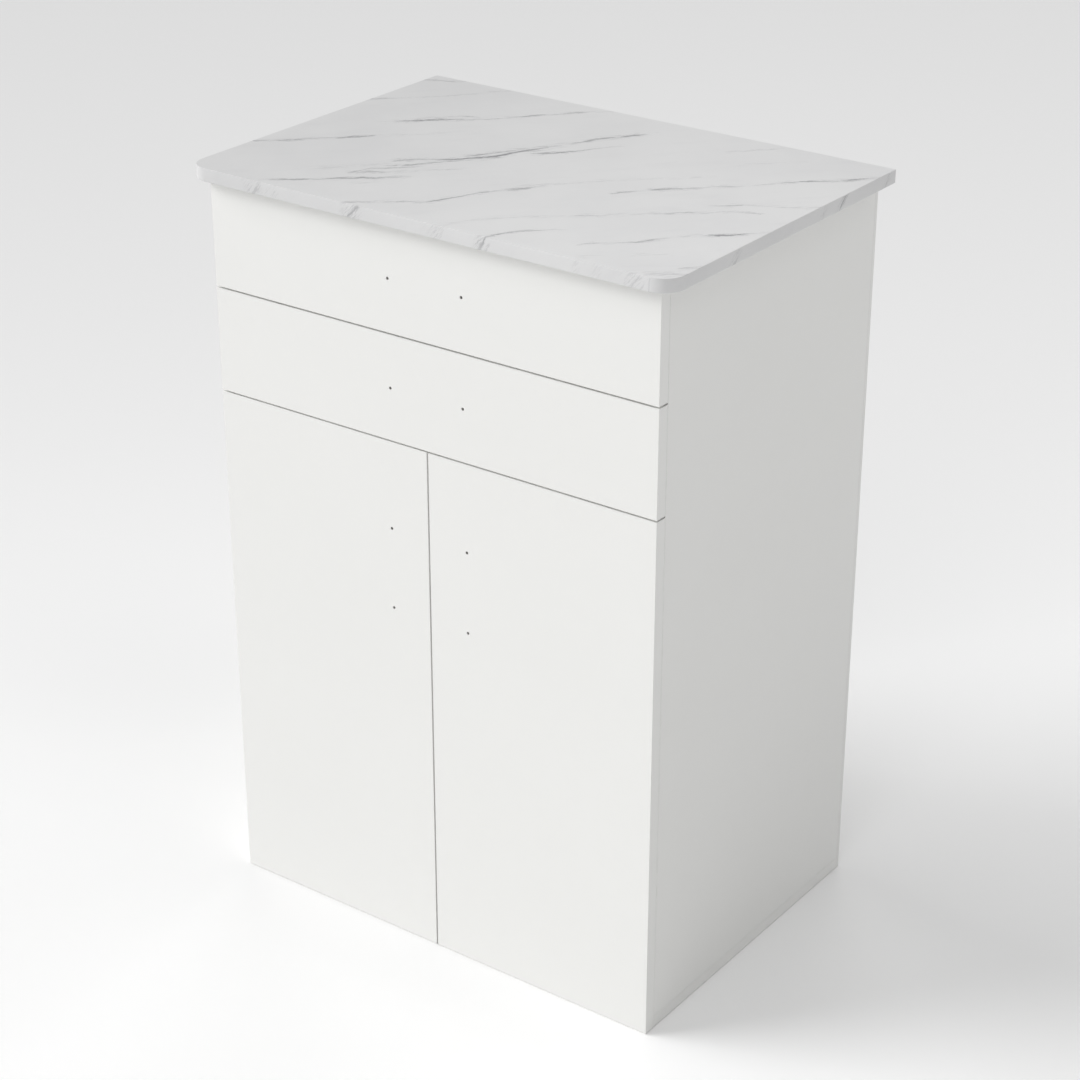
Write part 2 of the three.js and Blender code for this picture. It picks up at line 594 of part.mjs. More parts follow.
/** A cup: a pot pressed into the door, a flange with two screw ears, and two cheeks with a pin each. */
function hingeCup(name) {
  const inner = CUP_RADIUS - CUP_WALL;
  const floor = CUP_DEPTH - CUP_WALL;
  const profile = [
    [0, CUP_DEPTH],
    [CUP_RADIUS, CUP_DEPTH],
    [CUP_RADIUS, 0],
    [inner, 0],
    [inner, floor],
    [0, floor],
  ].map(([radius, y]) => new THREE.Vector2(radius, y));
  const pot = new THREE.LatheGeometry(profile.reverse(), CUP_STEPS).translate(CUP_CENTRE, 0, 0);
  const ears = new THREE.Shape();
  const earX = CUP_CENTRE + FLANGE_EAR_OFFSET;
  const earZ = FLANGE_EAR_SPACING / 2;
  ears.absarc(earX, earZ, FLANGE_EAR_RADIUS, 0, Math.PI);
  ears.absarc(earX, -earZ, FLANGE_EAR_RADIUS, Math.PI, 2 * Math.PI);
  const rim = new THREE.Shape().absarc(CUP_CENTRE, 0, CUP_RADIUS + FLANGE_RIM, 0, 2 * Math.PI);
  const sheet = [-FLANGE_THICKNESS, 0];
  const through = [-FLANGE_THICKNESS - OVERCUT, OVERCUT];
  const flange = common(
    join(prismBack(ears, sheet), prismBack(rim, sheet)),
    box([FLANGE_START, 2 * CUP_CENTRE], through, about(0, 2 * FLANGE_EAR_SPACING)),
  );
  const mouth = bar("y", inner, [through[0], CUP_WALL], [CUP_CENTRE, 0], CUP_STEPS);
  const screwHoles = [-earZ, earZ].map((z) => bar("y", PLATE_SCREW_RADIUS, through, [earX, z], SMALL_STEPS));
  const cheeks = [
    [OUTER_LINK_CUP_PIVOT, 1],
    [INNER_LINK_CUP_PIVOT, -1],
  ].flatMap(([[x, y], way]) => [
    box(
      [CUP_EDGE + CUP_WALL, x + LINK_EYE_RADIUS],
      [Math.max(y - LINK_EYE_RADIUS, CUP_PLAY), floor + CUP_WALL / 2],
      cheekSpan(way),
    ),
    bar("z", HINGE_PIN_RADIUS, pinSpan(way), [x, y], SMALL_STEPS),
  ]);
  return part(name, join(cut(join(pot, flange), mouth, ...screwHoles), ...cheeks), NICKEL);
}

/** A straight link between two pins. The hole at its cup end may be a slot, with its own play. */
function hingeLink(name, armPivot, cupPivot, way, slot, play) {
  const span = linkSpan(way);
  const turn = Math.atan2(cupPivot[1] - armPivot[1], cupPivot[0] - armPivot[0]);
  const along = (distance) => [
    cupPivot[0] + distance * Math.cos(turn),
    cupPivot[1] + distance * Math.sin(turn),
  ];
  const hole = HINGE_PIN_RADIUS + play;
  const eye = LINK_EYE_RADIUS + play - HINGE_PIN_PLAY;
  const half = LINK_BAR_WIDTH / 2;
  const through = [span[0] - OVERCUT, span[1] + OVERCUT];
  const blank = join(
    prismUp(linkOutline(armPivot, cupPivot, half, half), span),
    bar("z", LINK_EYE_RADIUS, span, armPivot, SMALL_STEPS),
    prismUp(linkOutline(along(-slot / 2), along(slot / 2), eye, eye), span),
  );
  return part(
    name,
    cut(
      blank,
      prismUp(linkOutline(along(-slot / 2), along(slot / 2), hole, hole), through),
      bar("z", HINGE_PIN_RADIUS + HINGE_PIN_PLAY, through, armPivot, SMALL_STEPS),
    ),
    NICKEL,
  );
}

/** The arm, on its mounting plate against the side panel, with a nose that holds the links' other pins. */
function hingeArm(name) {
  const plateTop = BOARD + PLATE_THICKNESS;
  const armX = [plateTop, plateTop + ARM_RISE];
  const ears = new THREE.Shape();
  const earZ = PLATE_SCREW_SPACING / 2;
  ears.absarc(-PLATE_SETBACK, earZ, PLATE_EAR_RADIUS, 0, Math.PI);
  ears.absarc(-PLATE_SETBACK, -earZ, PLATE_EAR_RADIUS, Math.PI, 2 * Math.PI);
  const plate = prismUp(ears, [0, PLATE_THICKNESS]);
  const place = plate.attributes.position;
  for (let i = 0; i < place.count; i++) {
    place.setXYZ(i, BOARD + place.getZ(i), place.getX(i), place.getY(i));
  }
  const screwHoles = [-earZ, earZ].map((z) =>
    bar("x", PLATE_SCREW_RADIUS, [BOARD - OVERCUT, plateTop + OVERCUT], [-PLATE_SETBACK, z], SMALL_STEPS),
  );
  const body = box([plateTop - PLATE_THICKNESS / 2, armX[1]], [-ARM_LENGTH, -ARM_FRONT], about(0, ARM_WIDTH));
  const root = [armX[1] - LINK_EYE_RADIUS, -ARM_FRONT - LINK_EYE_RADIUS];
  const noses = [
    [OUTER_LINK_ARM_PIVOT, 1],
    [INNER_LINK_ARM_PIVOT, -1],
  ].flatMap(([pivot, way]) => [
    prismUp(linkOutline(root, pivot, LINK_EYE_RADIUS, LINK_EYE_RADIUS), cheekSpan(way)),
    bar("z", HINGE_PIN_RADIUS, pinSpan(way), pivot, SMALL_STEPS),
  ]);
  return part(name, join(cut(plate, ...screwHoles), body, ...noses), NICKEL);
}

/** One hinge of the right door, in the hinge's own frame, which is turned half round to face the room. */
function hinge(side, place, z) {
  const name = `${side}_${place}_hinge_`;
  const group = new THREE.Group();
  group.position.set(side === "right" ? SIDE_X : -SIDE_X, FRONT_BACK_Y, z);
  group.scale.set(side === "right" ? -1 : 1, -1, 1);
  group.add(
    hingeCup(name + "cup"),
    hingeArm(name + "arm"),
    hingeLink(name + "outer_link", OUTER_LINK_ARM_PIVOT, OUTER_LINK_CUP_PIVOT, 1, 0, HINGE_PIN_PLAY),
    hingeLink(
      name + "inner_link",
      INNER_LINK_ARM_PIVOT,
      INNER_LINK_CUP_PIVOT,
      -1,
      INNER_LINK_SLOT,
      INNER_LINK_PLAY,
    ),
  );
  return group;
}

// ---------------------------------------------------------------- the whole cabinet

const cabinet = new THREE.Group();
cabinet.name = "bathroom_vanity_cabinet";
cabinet.add(worktop(), ...carcass(), ...adjustableShelf());
["upper", "lower"].forEach((level, i) => {
  cabinet.add(...drawer(level, FIRST_FRONT_TOP_Z - DRAWER_FRONT_HEIGHT - i * FRONT_PITCH));
});
SIDES.forEach((side) => {
  cabinet.add(groupAt([0, 0, 0], [door(side)], side === "left"));
  Object.entries(HINGE_PLACES_Z).forEach(([place, z]) => cabinet.add(hinge(side, place, z)));
});

export default cabinet;
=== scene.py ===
"""Finishes, fittings, studio and camera of a bathroom vanity cabinet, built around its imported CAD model.

Sizes are in metres. +X is to the right of someone who faces the fronts, +Y goes back to the wall and +Z up.
"""

import json
import logging
import math
from abc import ABC, abstractmethod
from dataclasses import dataclass
from enum import Enum
from typing import Any, Callable, Iterable, Sequence, Union

import bmesh
import bpy
import numpy as np
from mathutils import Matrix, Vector

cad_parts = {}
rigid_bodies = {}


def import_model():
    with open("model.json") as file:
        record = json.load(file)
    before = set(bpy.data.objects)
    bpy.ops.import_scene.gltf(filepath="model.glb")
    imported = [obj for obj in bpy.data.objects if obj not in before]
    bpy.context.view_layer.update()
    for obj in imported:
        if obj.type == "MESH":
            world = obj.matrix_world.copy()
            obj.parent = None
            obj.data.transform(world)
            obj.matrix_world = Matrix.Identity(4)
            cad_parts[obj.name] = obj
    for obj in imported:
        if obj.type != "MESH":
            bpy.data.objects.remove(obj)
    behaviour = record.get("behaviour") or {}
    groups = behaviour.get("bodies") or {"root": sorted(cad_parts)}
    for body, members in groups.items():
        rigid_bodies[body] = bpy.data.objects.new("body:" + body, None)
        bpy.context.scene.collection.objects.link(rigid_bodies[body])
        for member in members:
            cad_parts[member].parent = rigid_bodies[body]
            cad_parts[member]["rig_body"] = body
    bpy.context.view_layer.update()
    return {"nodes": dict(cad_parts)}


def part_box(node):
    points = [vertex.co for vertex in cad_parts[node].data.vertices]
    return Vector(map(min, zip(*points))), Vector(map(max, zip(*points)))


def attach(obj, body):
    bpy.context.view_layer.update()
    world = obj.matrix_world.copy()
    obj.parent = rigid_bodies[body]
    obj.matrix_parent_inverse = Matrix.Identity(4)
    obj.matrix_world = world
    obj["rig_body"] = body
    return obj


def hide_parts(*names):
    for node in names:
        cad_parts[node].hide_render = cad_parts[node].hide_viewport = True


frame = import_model()

log = logging.getLogger("vanity")

Triple = tuple[float, float, float]


class Slot(str, Enum):
    """The record's material slots."""

    WHITE_BOARD = "white_board"
    MARBLE = "marble"
    HARDBOARD = "hardboard"
    STEEL = "steel"
    NICKEL = "nickel"
    PLASTIC = "plastic"


class Side(Enum):
    """The left and the right of someone who faces the fronts; the value is the sign of X."""

    LEFT = -1
    RIGHT = 1

    @property
    def word(self) -> str:
        """The side's name in node and body names."""
        return self.name.lower()


class Level(str, Enum):
    """The two drawers."""

    UPPER = "upper"
    LOWER = "lower"


CABINET = "cabinet"
SLAB_CORNER = 0.026  # the radius of the worktop's front corners in plan


def paint(red: float, green: float, blue: float) -> Triple:
    """A colour from its display values.

    Each value over 255 becomes c / 12.92 where it is at most 0.04045, and ((c + 0.055) / 1.055) to the power
    2.4 above that.

    Args:
        red, green, blue: display values, 0 to 255.

    Returns:
        The linear red, green and blue.
    """
    shares = np.array((red, green, blue)) / 255
    linear = np.where(shares <= 0.04045, shares / 12.92, ((shares + 0.055) / 1.055) ** 2.4)
    return tuple(float(c) for c in linear)


@dataclass(frozen=True)
class Box:
    """The lowest and highest corner of a CAD node at rest."""

    low: np.ndarray
    high: np.ndarray

    @staticmethod
    def of(node: str) -> "Box":
        """The box of a node by name."""
        low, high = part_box(node)
        return Box(np.array(low), np.array(high))

    @property
    def centre(self) -> np.ndarray:
        """The middle of the box."""
        return (self.low + self.high) / 2

    @property
    def half(self) -> np.ndarray:
        """Half the box's sizes."""
        return (self.high - self.low) / 2


# ---------------------------------------------------------------- shader graphs


def operator(operation: str, swapped: bool = False) -> Callable[["Signal", "Value"], "Signal"]:
    """A method that puts a signal and another value, or the other first if swapped, through a Math node."""

    def method(signal: "Signal", other: "Value") -> "Signal":
        """The result of the operation."""
        return signal.graph.math(operation, *((other, signal) if swapped else (signal, other)))

    return method


class Signal:
    """A number or vector that a shader graph carries, with the arithmetic of numbers."""

    __add__, __radd__ = operator("ADD"), operator("ADD", swapped=True)
    __sub__, __rsub__ = operator("SUBTRACT"), operator("SUBTRACT", swapped=True)
    __mul__, __rmul__ = operator("MULTIPLY"), operator("MULTIPLY", swapped=True)
    __truediv__, __rtruediv__ = operator("DIVIDE"), operator("DIVIDE", swapped=True)
    least, most = operator("MINIMUM"), operator("MAXIMUM")

    def __init__(self, graph: "ShaderGraph", socket: bpy.types.NodeSocket) -> None:
        """Wraps one output socket of a graph's node."""
        self.graph = graph
        self.socket = socket

    def __abs__(self) -> "Signal":
        """This without its sign."""
        return self.graph.math("ABSOLUTE", self)

    def rise(self, low: "Value", high: "Value") -> "Signal":
        """A smooth step that is 0 where this is at low and 1 where it is at high."""
        span = {"Value": self, "From Min": low, "From Max": high}
        return self.graph.signal("ShaderNodeMapRange", {"interpolation_type": "SMOOTHSTEP"}, span)


Value = Union[Signal, float]


class ShaderGraph:
    """The node tree of a material or a world, built through a single method that adds a node."""

    def __init__(self, owner: bpy.types.Material | bpy.types.World) -> None:
        """Empties the owner's node tree."""
        owner.use_nodes = True
        self.owner = owner
        self.tree = owner.node_tree
        self.tree.nodes.clear()

    def add(
        self,
        kind: str,
        settings: dict[str, Any] | None = None,
        inputs: dict[str | int, Any] | None = None,
    ) -> bpy.types.Node:
        """Adds a node.

        Args:
            kind: the node's type.
            settings: its properties, set first; "points" are a curve's.
            inputs: a value, or a Signal to link, for each socket by name or number.

        Returns:
            The new node.
        """
        node = self.tree.nodes.new(kind)
        for key, value in (settings or {}).items():
            if key == "points":
                self._set_points(node, value)
            else:
                setattr(node, key, value)
        for key, value in (inputs or {}).items():
            socket = node.inputs[key]
            if isinstance(value, Signal):
                self.tree.links.new(value.socket, socket)
            elif isinstance(value, tuple) and socket.type == "RGBA":
                socket.default_value = (*value, 1.0)
            else:
                socket.default_value = value
        return node

    def signal(
        self,
        kind: str,
        settings: dict[str, Any] | None = None,
        inputs: dict[str | int, Any] | None = None,
        output: int | str = 0,
    ) -> Signal:
        """Adds a node, as add does, and gives one of its outputs."""
        return Signal(self, self.add(kind, settings, inputs).outputs[output])

    @staticmethod
    def _set_points(node: bpy.types.Node, points: Sequence[tuple[float, float]]) -> None:
        """Gives a float curve its points, which stay level beyond its ends."""
        node.mapping.extend = "HORIZONTAL"
        curve = node.mapping.curves[0]
        for _ in points[2:]:
            curve.points.new(0.5, 0.5)
        for point, place in zip(curve.points, points):
            point.location = place
        node.mapping.update()

    def math(self, operation: str, *values: Value) -> Signal:
        """One Math node on one or two values."""
        return self.signal("ShaderNodeMath", {"operation": operation}, dict(enumerate(values)))

    def vector(self, operation: str, *values: Any, output: int = 0) -> Signal:
        """One Vector Math node on one or two vectors."""
        inputs = dict(enumerate(values))
        return self.signal("ShaderNodeVectorMath", {"operation": operation}, inputs, output)

    def scaled(self, vector: Any, factor: Value) -> Signal:
        """A vector times a number."""
        return self.signal("ShaderNodeVectorMath", {"operation": "SCALE"}, {0: vector, "Scale": factor})

    def place(self) -> Signal:
        """The Object coordinates, which are the row frame's in metres."""
        return self.signal("ShaderNodeTexCoord", output="Object")

    def split(self, vector: Signal) -> tuple[Signal, Signal, Signal]:
        """The X, Y and Z of a vector."""
        node = self.add("ShaderNodeSeparateXYZ", inputs={0: vector})
        return tuple(Signal(self, output) for output in node.outputs)

    def joined(self, x: Value, y: Value, z: Value) -> Signal:
        """A vector from its X, Y and Z."""
        return self.signal("ShaderNodeCombineXYZ", inputs={0: x, 1: y, 2: z})

    def attribute(self, name: str) -> Signal:
        """A vector that the mesh holds under that name."""
        return self.signal("ShaderNodeAttribute", {"attribute_name": name}, output="Vector")

    def noise(
        self, vector: Signal, scale: float, detail: float = 2.0, roughness: float = 0.5, colour: bool = False
    ) -> Signal:
        """A noise from 0 to 1, or three of them as a vector, with features 1 / scale metres across."""
        inputs = {"Vector": vector, "Scale": scale, "Detail": detail, "Roughness": roughness}
        return self.signal("ShaderNodeTexNoise", {"normalize": True}, inputs, "Color" if colour else 0)

    def stretched(self, vector: Signal, factors: Triple) -> Signal:
        """A vector with each coordinate multiplied, to draw a pattern out along the least of them."""
        return self.vector("MULTIPLY", vector, factors)

    def curve(self, value: Signal, points: Sequence[tuple[float, float]]) -> Signal:
        """A smooth curve through points, level beyond its ends."""
        return self.signal("ShaderNodeFloatCurve", {"points": points}, {"Value": value})

    def mix(self, factor: Value, first: Any, second: Any) -> Signal:
        """A colour between first, where factor is 0, and second, where it is 1."""
        inputs = {"Factor": factor, 6: first, 7: second}
        return self.signal("ShaderNodeMix", {"data_type": "RGBA"}, inputs, 2)

    def bump(self, height: Signal, depth: float) -> Signal:
        """A normal for a surface that stands depth metres high where the height is 1."""
        return self.signal("ShaderNodeBump", inputs={"Strength": 1.0, "Distance": depth, "Height": height})

    def surface(self, **sockets: Any) -> bpy.types.Material:
        """Closes the graph with a Principled shader.

        Args:
            sockets: values or Signals by socket name, with underscores for spaces.

        Returns:
            The finished material.
        """
        named = {key.replace("_", " ") if key != "IOR" else key: value for key, value in sockets.items()}
        return self.close(self.signal("ShaderNodeBsdfPrincipled", inputs=named))

    def close(self, shader: Signal) -> bpy.types.Material:
        """Links a shader to the material's output."""
        self.add("ShaderNodeOutputMaterial", inputs={"Surface": shader})
        return self.owner


# ---------------------------------------------------------------- finishes

_MATERIALS: dict[str, bpy.types.Material] = {}

# A copied board's attributes: the middle and half the sizes of its box
BOARD_CENTRE, BOARD_HALF = "board_centre", "board_half"


@dataclass(frozen=True)
class Finish(ABC):
    """A surface finish. Its material is made once and shared."""

    def material(self) -> bpy.types.Material:
        """The finish's material."""
        key = repr(self)
        if key not in _MATERIALS:
            _MATERIALS[key] = self.build(ShaderGraph(bpy.data.materials.new(type(self).__name__)))
        return _MATERIALS[key]

    @abstractmethod
    def build(self, graph: ShaderGraph) -> bpy.types.Material:
        """Builds the material in an empty graph."""


@dataclass(frozen=True)
class WhiteLaminate(Finish):
    """White melamine on chipboard: a fine pressed grain, faint drifts of tone and the edge band's seam."""

    colour: Triple = paint(240, 240, 238)
    band: float = 0.0008
    seam: float = 0.00009
    roughness: float = 0.42

    def build(self, graph: ShaderGraph) -> bpy.types.Material:
        """The seam runs where the distance to the nearest edge of the face equals the band's thickness.

        Of a point's three distances to the board's planes, the least is 0 on any face. The middle one is the
        distance to the nearest edge of that face.
        """
        place = graph.place()
        gap = graph.vector(
            "SUBTRACT",
            graph.attribute(BOARD_HALF),
            graph.vector("ABSOLUTE", graph.vector("SUBTRACT", place, graph.attribute(BOARD_CENTRE))),
        )
        x, y, z = graph.split(gap)
        least, most = x.least(y).least(z), x.most(y).most(z)
        to_edge = x + y + z - least - most
        seam = 1 - abs(to_edge - self.band).rise(0.0, self.seam)
        rub = (1 - to_edge.rise(0.0, 0.004)) * graph.noise(place, 90, 4).rise(0.45, 0.75)
        drift = graph.noise(place, 5.0, 3)
        mottle = graph.noise(place, 60.0, 4, 0.6)
        shade = ((drift - 0.5) * 0.10 + (mottle - 0.5) * 0.05 + 0.12 + seam * 0.5 + rub * 0.10).most(0.0)
        grain = graph.noise(place, 1400.0, 2)
        ripple = graph.noise(place, 160.0, 2)
        height = grain * 0.8 + ripple * 0.6 - seam * 1.5
        return graph.surface(
            Base_Color=graph.mix(shade.least(1.0), self.colour, paint(214, 213, 208)),
            Roughness=(drift - 0.5) * 0.08 + (grain - 0.5) * 0.12 + self.roughness + rub * 0.08,
            Normal=graph.bump(height, 0.000012),
        )


@dataclass(frozen=True)
class ChipboardCore(Finish):
    """The cut core of chipboard, as in a drilled hole: pressed flakes of wood, rough and pale brown."""

    pale: Triple = paint(204, 180, 143)
    dark: Triple = paint(126, 98, 66)

    def build(self, graph: ShaderGraph) -> bpy.types.Material:
        """The flakes are the cells of a Voronoi pattern drawn out along the board, each with its own tone."""
        place = graph.place()
        wavy = graph.vector("ADD", place, graph.scaled(graph.noise(place, 700, 2, colour=True), 0.0006))
        flakes = {"Vector": graph.stretched(wavy, (1.0, 2.5, 1.0)), "Scale": 800.0}
        tone, _, _ = graph.split(graph.signal("ShaderNodeTexVoronoi", {"feature": "F1"}, flakes, "Color"))
        pits = graph.noise(place, 1500, 3)
        return graph.surface(
            Base_Color=graph.mix(tone * 0.7 + pits * 0.4, self.pale, self.dark),
            Roughness=0.9,
            Normal=graph.bump(pits + tone * 0.5, 0.0001),
        )


@dataclass(frozen=True)
class Vein:
    """One vein of the marble.

    path holds its places, in millimetres from the worktop's left end and from its front edge, from front to
    back, each with how dark the vein is there, in percent. half_width is in millimetres too.
    """

    half_width: float
    path: Sequence[tuple[float, float, float]]


# Each row is a vein's half width, then its path
VEIN_ROWS = (
    (1.3, (-8, 300, 60), (5, 312, 70), (18, 324, 35), (62, 368, 30), (102, 420, 35), (115, 436, 30)),
    (1.6, (-4, 402, 30), (12, 414, 50), (30, 426, 45), (50, 440, 30)),
    (2.4, (67, 241, 10), (80, 254, 30), (92, 266, 85), (106, 280, 100), (122, 294, 80), (142, 308, 40)),
    (1.4, (96, 284, 15), (118, 303, 45), (135, 318, 50), (150, 322, 20)),
    (1.7, (136, 300, 20), (152, 316, 45), (170, 335, 40), (184, 352, 55), (194, 366, 75), (202, 376, 30)),
    (1.5, (196, 366, 20), (212, 386, 45), (224, 402, 60), (236, 414, 30), (257, 430, 20)),
    (1.6, (-6, 98, 50), (2, 106, 60), (16, 117, 40), (28, 128, 80), (44, 145, 55), (60, 160, 30)),
    (1.6, (30, 134, 20), (48, 151, 40), (66, 167, 50), (78, 179, 95), (88, 189, 90), (97, 200, 30)),
    (1.8, (97, 198, 20), (112, 212, 25), (130, 228, 20), (150, 252, 15), (166, 272, 5)),
    (2.2, (171, 137, 30), (180, 149, 75), (196, 163, 60), (212, 174, 80), (228, 190, 100), (240, 205, 100)),
    (2.6, (236, 198, 60), (247, 212, 100), (254, 228, 100), (258, 240, 95), (269, 260, 85), (277, 277, 60)),
    (2.2, (222, 197, 30), (229, 205, 60), (237, 219, 70), (245, 231, 65), (253, 246, 55), (262, 262, 30)),
    (2.4, (275, 272, 40), (283, 292, 50), (293, 311, 55), (302, 330, 80), (310, 345, 65), (318, 357, 60)),
    (2.0, (316, 352, 40), (323, 363, 95), (330, 374, 50), (342, 391, 20)),
    (1.8, (175, 120, 30), (187, 131, 70), (198, 143, 80), (207, 155, 60), (216, 168, 60), (228, 186, 50)),
    (1.3, (160, 82, 60), (165, 94, 55), (170, 106, 50), (182, 116, 60), (196, 130, 45), (208, 143, 20)),
    (1.8, (158, 81, 50), (170, 90, 75), (180, 98, 80), (192, 106, 40), (204, 120, 30)),
    (1.3, (206, 118, 15), (222, 136, 35), (238, 150, 40), (250, 164, 20)),
    (2.6, (118, 66, 12), (140, 92, 25), (158, 112, 25), (176, 132, 15)),
    (1.5, (86, 0, 12), (98, 8, 35), (116, 20, 60), (132, 31, 90), (146, 42, 55), (160, 54, 75)),
    (1.7, (156, 50, 50), (172, 66, 95), (186, 77, 100), (196, 84, 70), (210, 98, 60), (220, 108, 15)),
    (1.4, (182, 52, 10), (196, 66, 30), (208, 78, 25), (220, 92, 10)),
    (1.6, (277, 248, 60), (288, 258, 85), (298, 268, 100), (306, 278, 80), (314, 292, 55), (322, 308, 30)),
    (1.2, (318, 300, 20), (328, 314, 35), (340, 330, 10)),
    (1.5, (218, 0, 25), (226, 7, 60), (240, 18, 55), (252, 28, 40), (264, 36, 60), (280, 46, 40)),
    (1.8, (278, 44, 40), (286, 52, 50), (293, 66, 85), (300, 80, 65), (310, 102, 70), (318, 116, 55)),
    (1.6, (316, 112, 20), (328, 132, 50), (340, 158, 35), (350, 170, 30), (365, 182, 35)),
    (1.7, (330, 130, 30), (337, 142, 75), (346, 156, 55), (354, 168, 35)),
    (1.5, (364, 180, 25), (380, 200, 30), (396, 220, 25), (420, 244, 20), (446, 264, 20), (478, 296, 10)),
    (1.5, (424, 186, 50), (432, 198, 75), (442, 210, 30), (452, 222, 35)),
    (2.0, (448, 218, 30), (460, 230, 85), (470, 240, 60), (482, 250, 50), (492, 262, 40), (510, 280, 40)),
    (1.5, (506, 278, 20), (524, 294, 30), (538, 308, 35), (552, 324, 60), (566, 340, 85), (576, 348, 50)),
    (1.8, (572, 344, 40), (586, 356, 65), (596, 366, 70), (604, 377, 95), (612, 386, 40), (622, 398, 35)),
    (1.6, (343, -4, 20), (348, 12, 25), (360, 36, 20), (384, 62, 30), (408, 84, 20), (424, 98, 20)),
    (1.7, (428, 100, 15), (438, 108, 45), (446, 116, 60), (456, 122, 30), (480, 146, 25), (506, 168, 30)),
    (1.5, (502, 164, 20), (514, 176, 60), (524, 184, 55), (540, 196, 35), (560, 212, 35), (582, 220, 60)),
    (1.9, (524, 208, 15), (536, 218, 35), (548, 230, 55), (558, 238, 25), (590, 252, 30), (622, 276, 30)),
    (
        1.4,
        (394, -15, 45), (400, -2, 70), (403, 6, 85), (410, 22, 60), (422, 38, 70),
        (434, 51, 40), (450, 64, 20),
    ),
    (1.5, (486, 34, 10), (494, 46, 60), (504, 54, 35), (520, 68, 40), (530, 78, 75), (538, 90, 80)),
    (1.5, (536, 84, 50), (544, 98, 40), (554, 112, 35), (566, 126, 40), (578, 136, 70), (588, 144, 100)),
    (1.7, (584, 140, 60), (594, 149, 100), (601, 157, 80), (609, 166, 30), (622, 174, 20)),
    (1.4, (444, 378, 30), (456, 392, 30), (468, 406, 35), (486, 424, 20), (500, 438, 20)),
    (1.8, (477, 341, 8), (502, 372, 16), (532, 395, 10)),
    (4.5, (575, -15, 30), (584, -3, 25)),
    (3.0, (586, 3, 20), (598, 12, 40), (610, 21, 40), (622, 31, 35)),
    (1.3, (602, 36, 20), (610, 44, 50), (622, 56, 45)),
    (1.6, (508, -15, 12), (511, -4, 15), (512, 8, 20), (524, 24, 6)),
    (1.6, (546, 40, 8), (560, 54, 18), (576, 66, 8)),
    (5.0, (92, -15, 30), (99, -9, 32), (108, -1, 20)),
    (1.8, (121, -10, 30), (126, -6, 20)),
    (2.8, (222, -15, 42), (230, -8, 55), (238, 0, 50)),
    (4.0, (334, -15, 25), (344, -2, 25)),
    (3.0, (393, -15, 50), (400, -3, 40)),
    (2.6, (532, -15, 12), (538, -4, 12)),
    (2.0, (596, -15, 35), (600, -3, 35)),
    (1.8, (675, 109, 45), (689, 120, 40)),
    (1.6, (675, 277, 30), (689, 285, 20)),
    (1.8, (675, 311, 50), (689, 324, 65)),
    (1.8, (675, 408, 35), (689, 420, 40)),
)
VEINS = tuple(Vein(half_width, path) for half_width, *path in VEIN_ROWS)


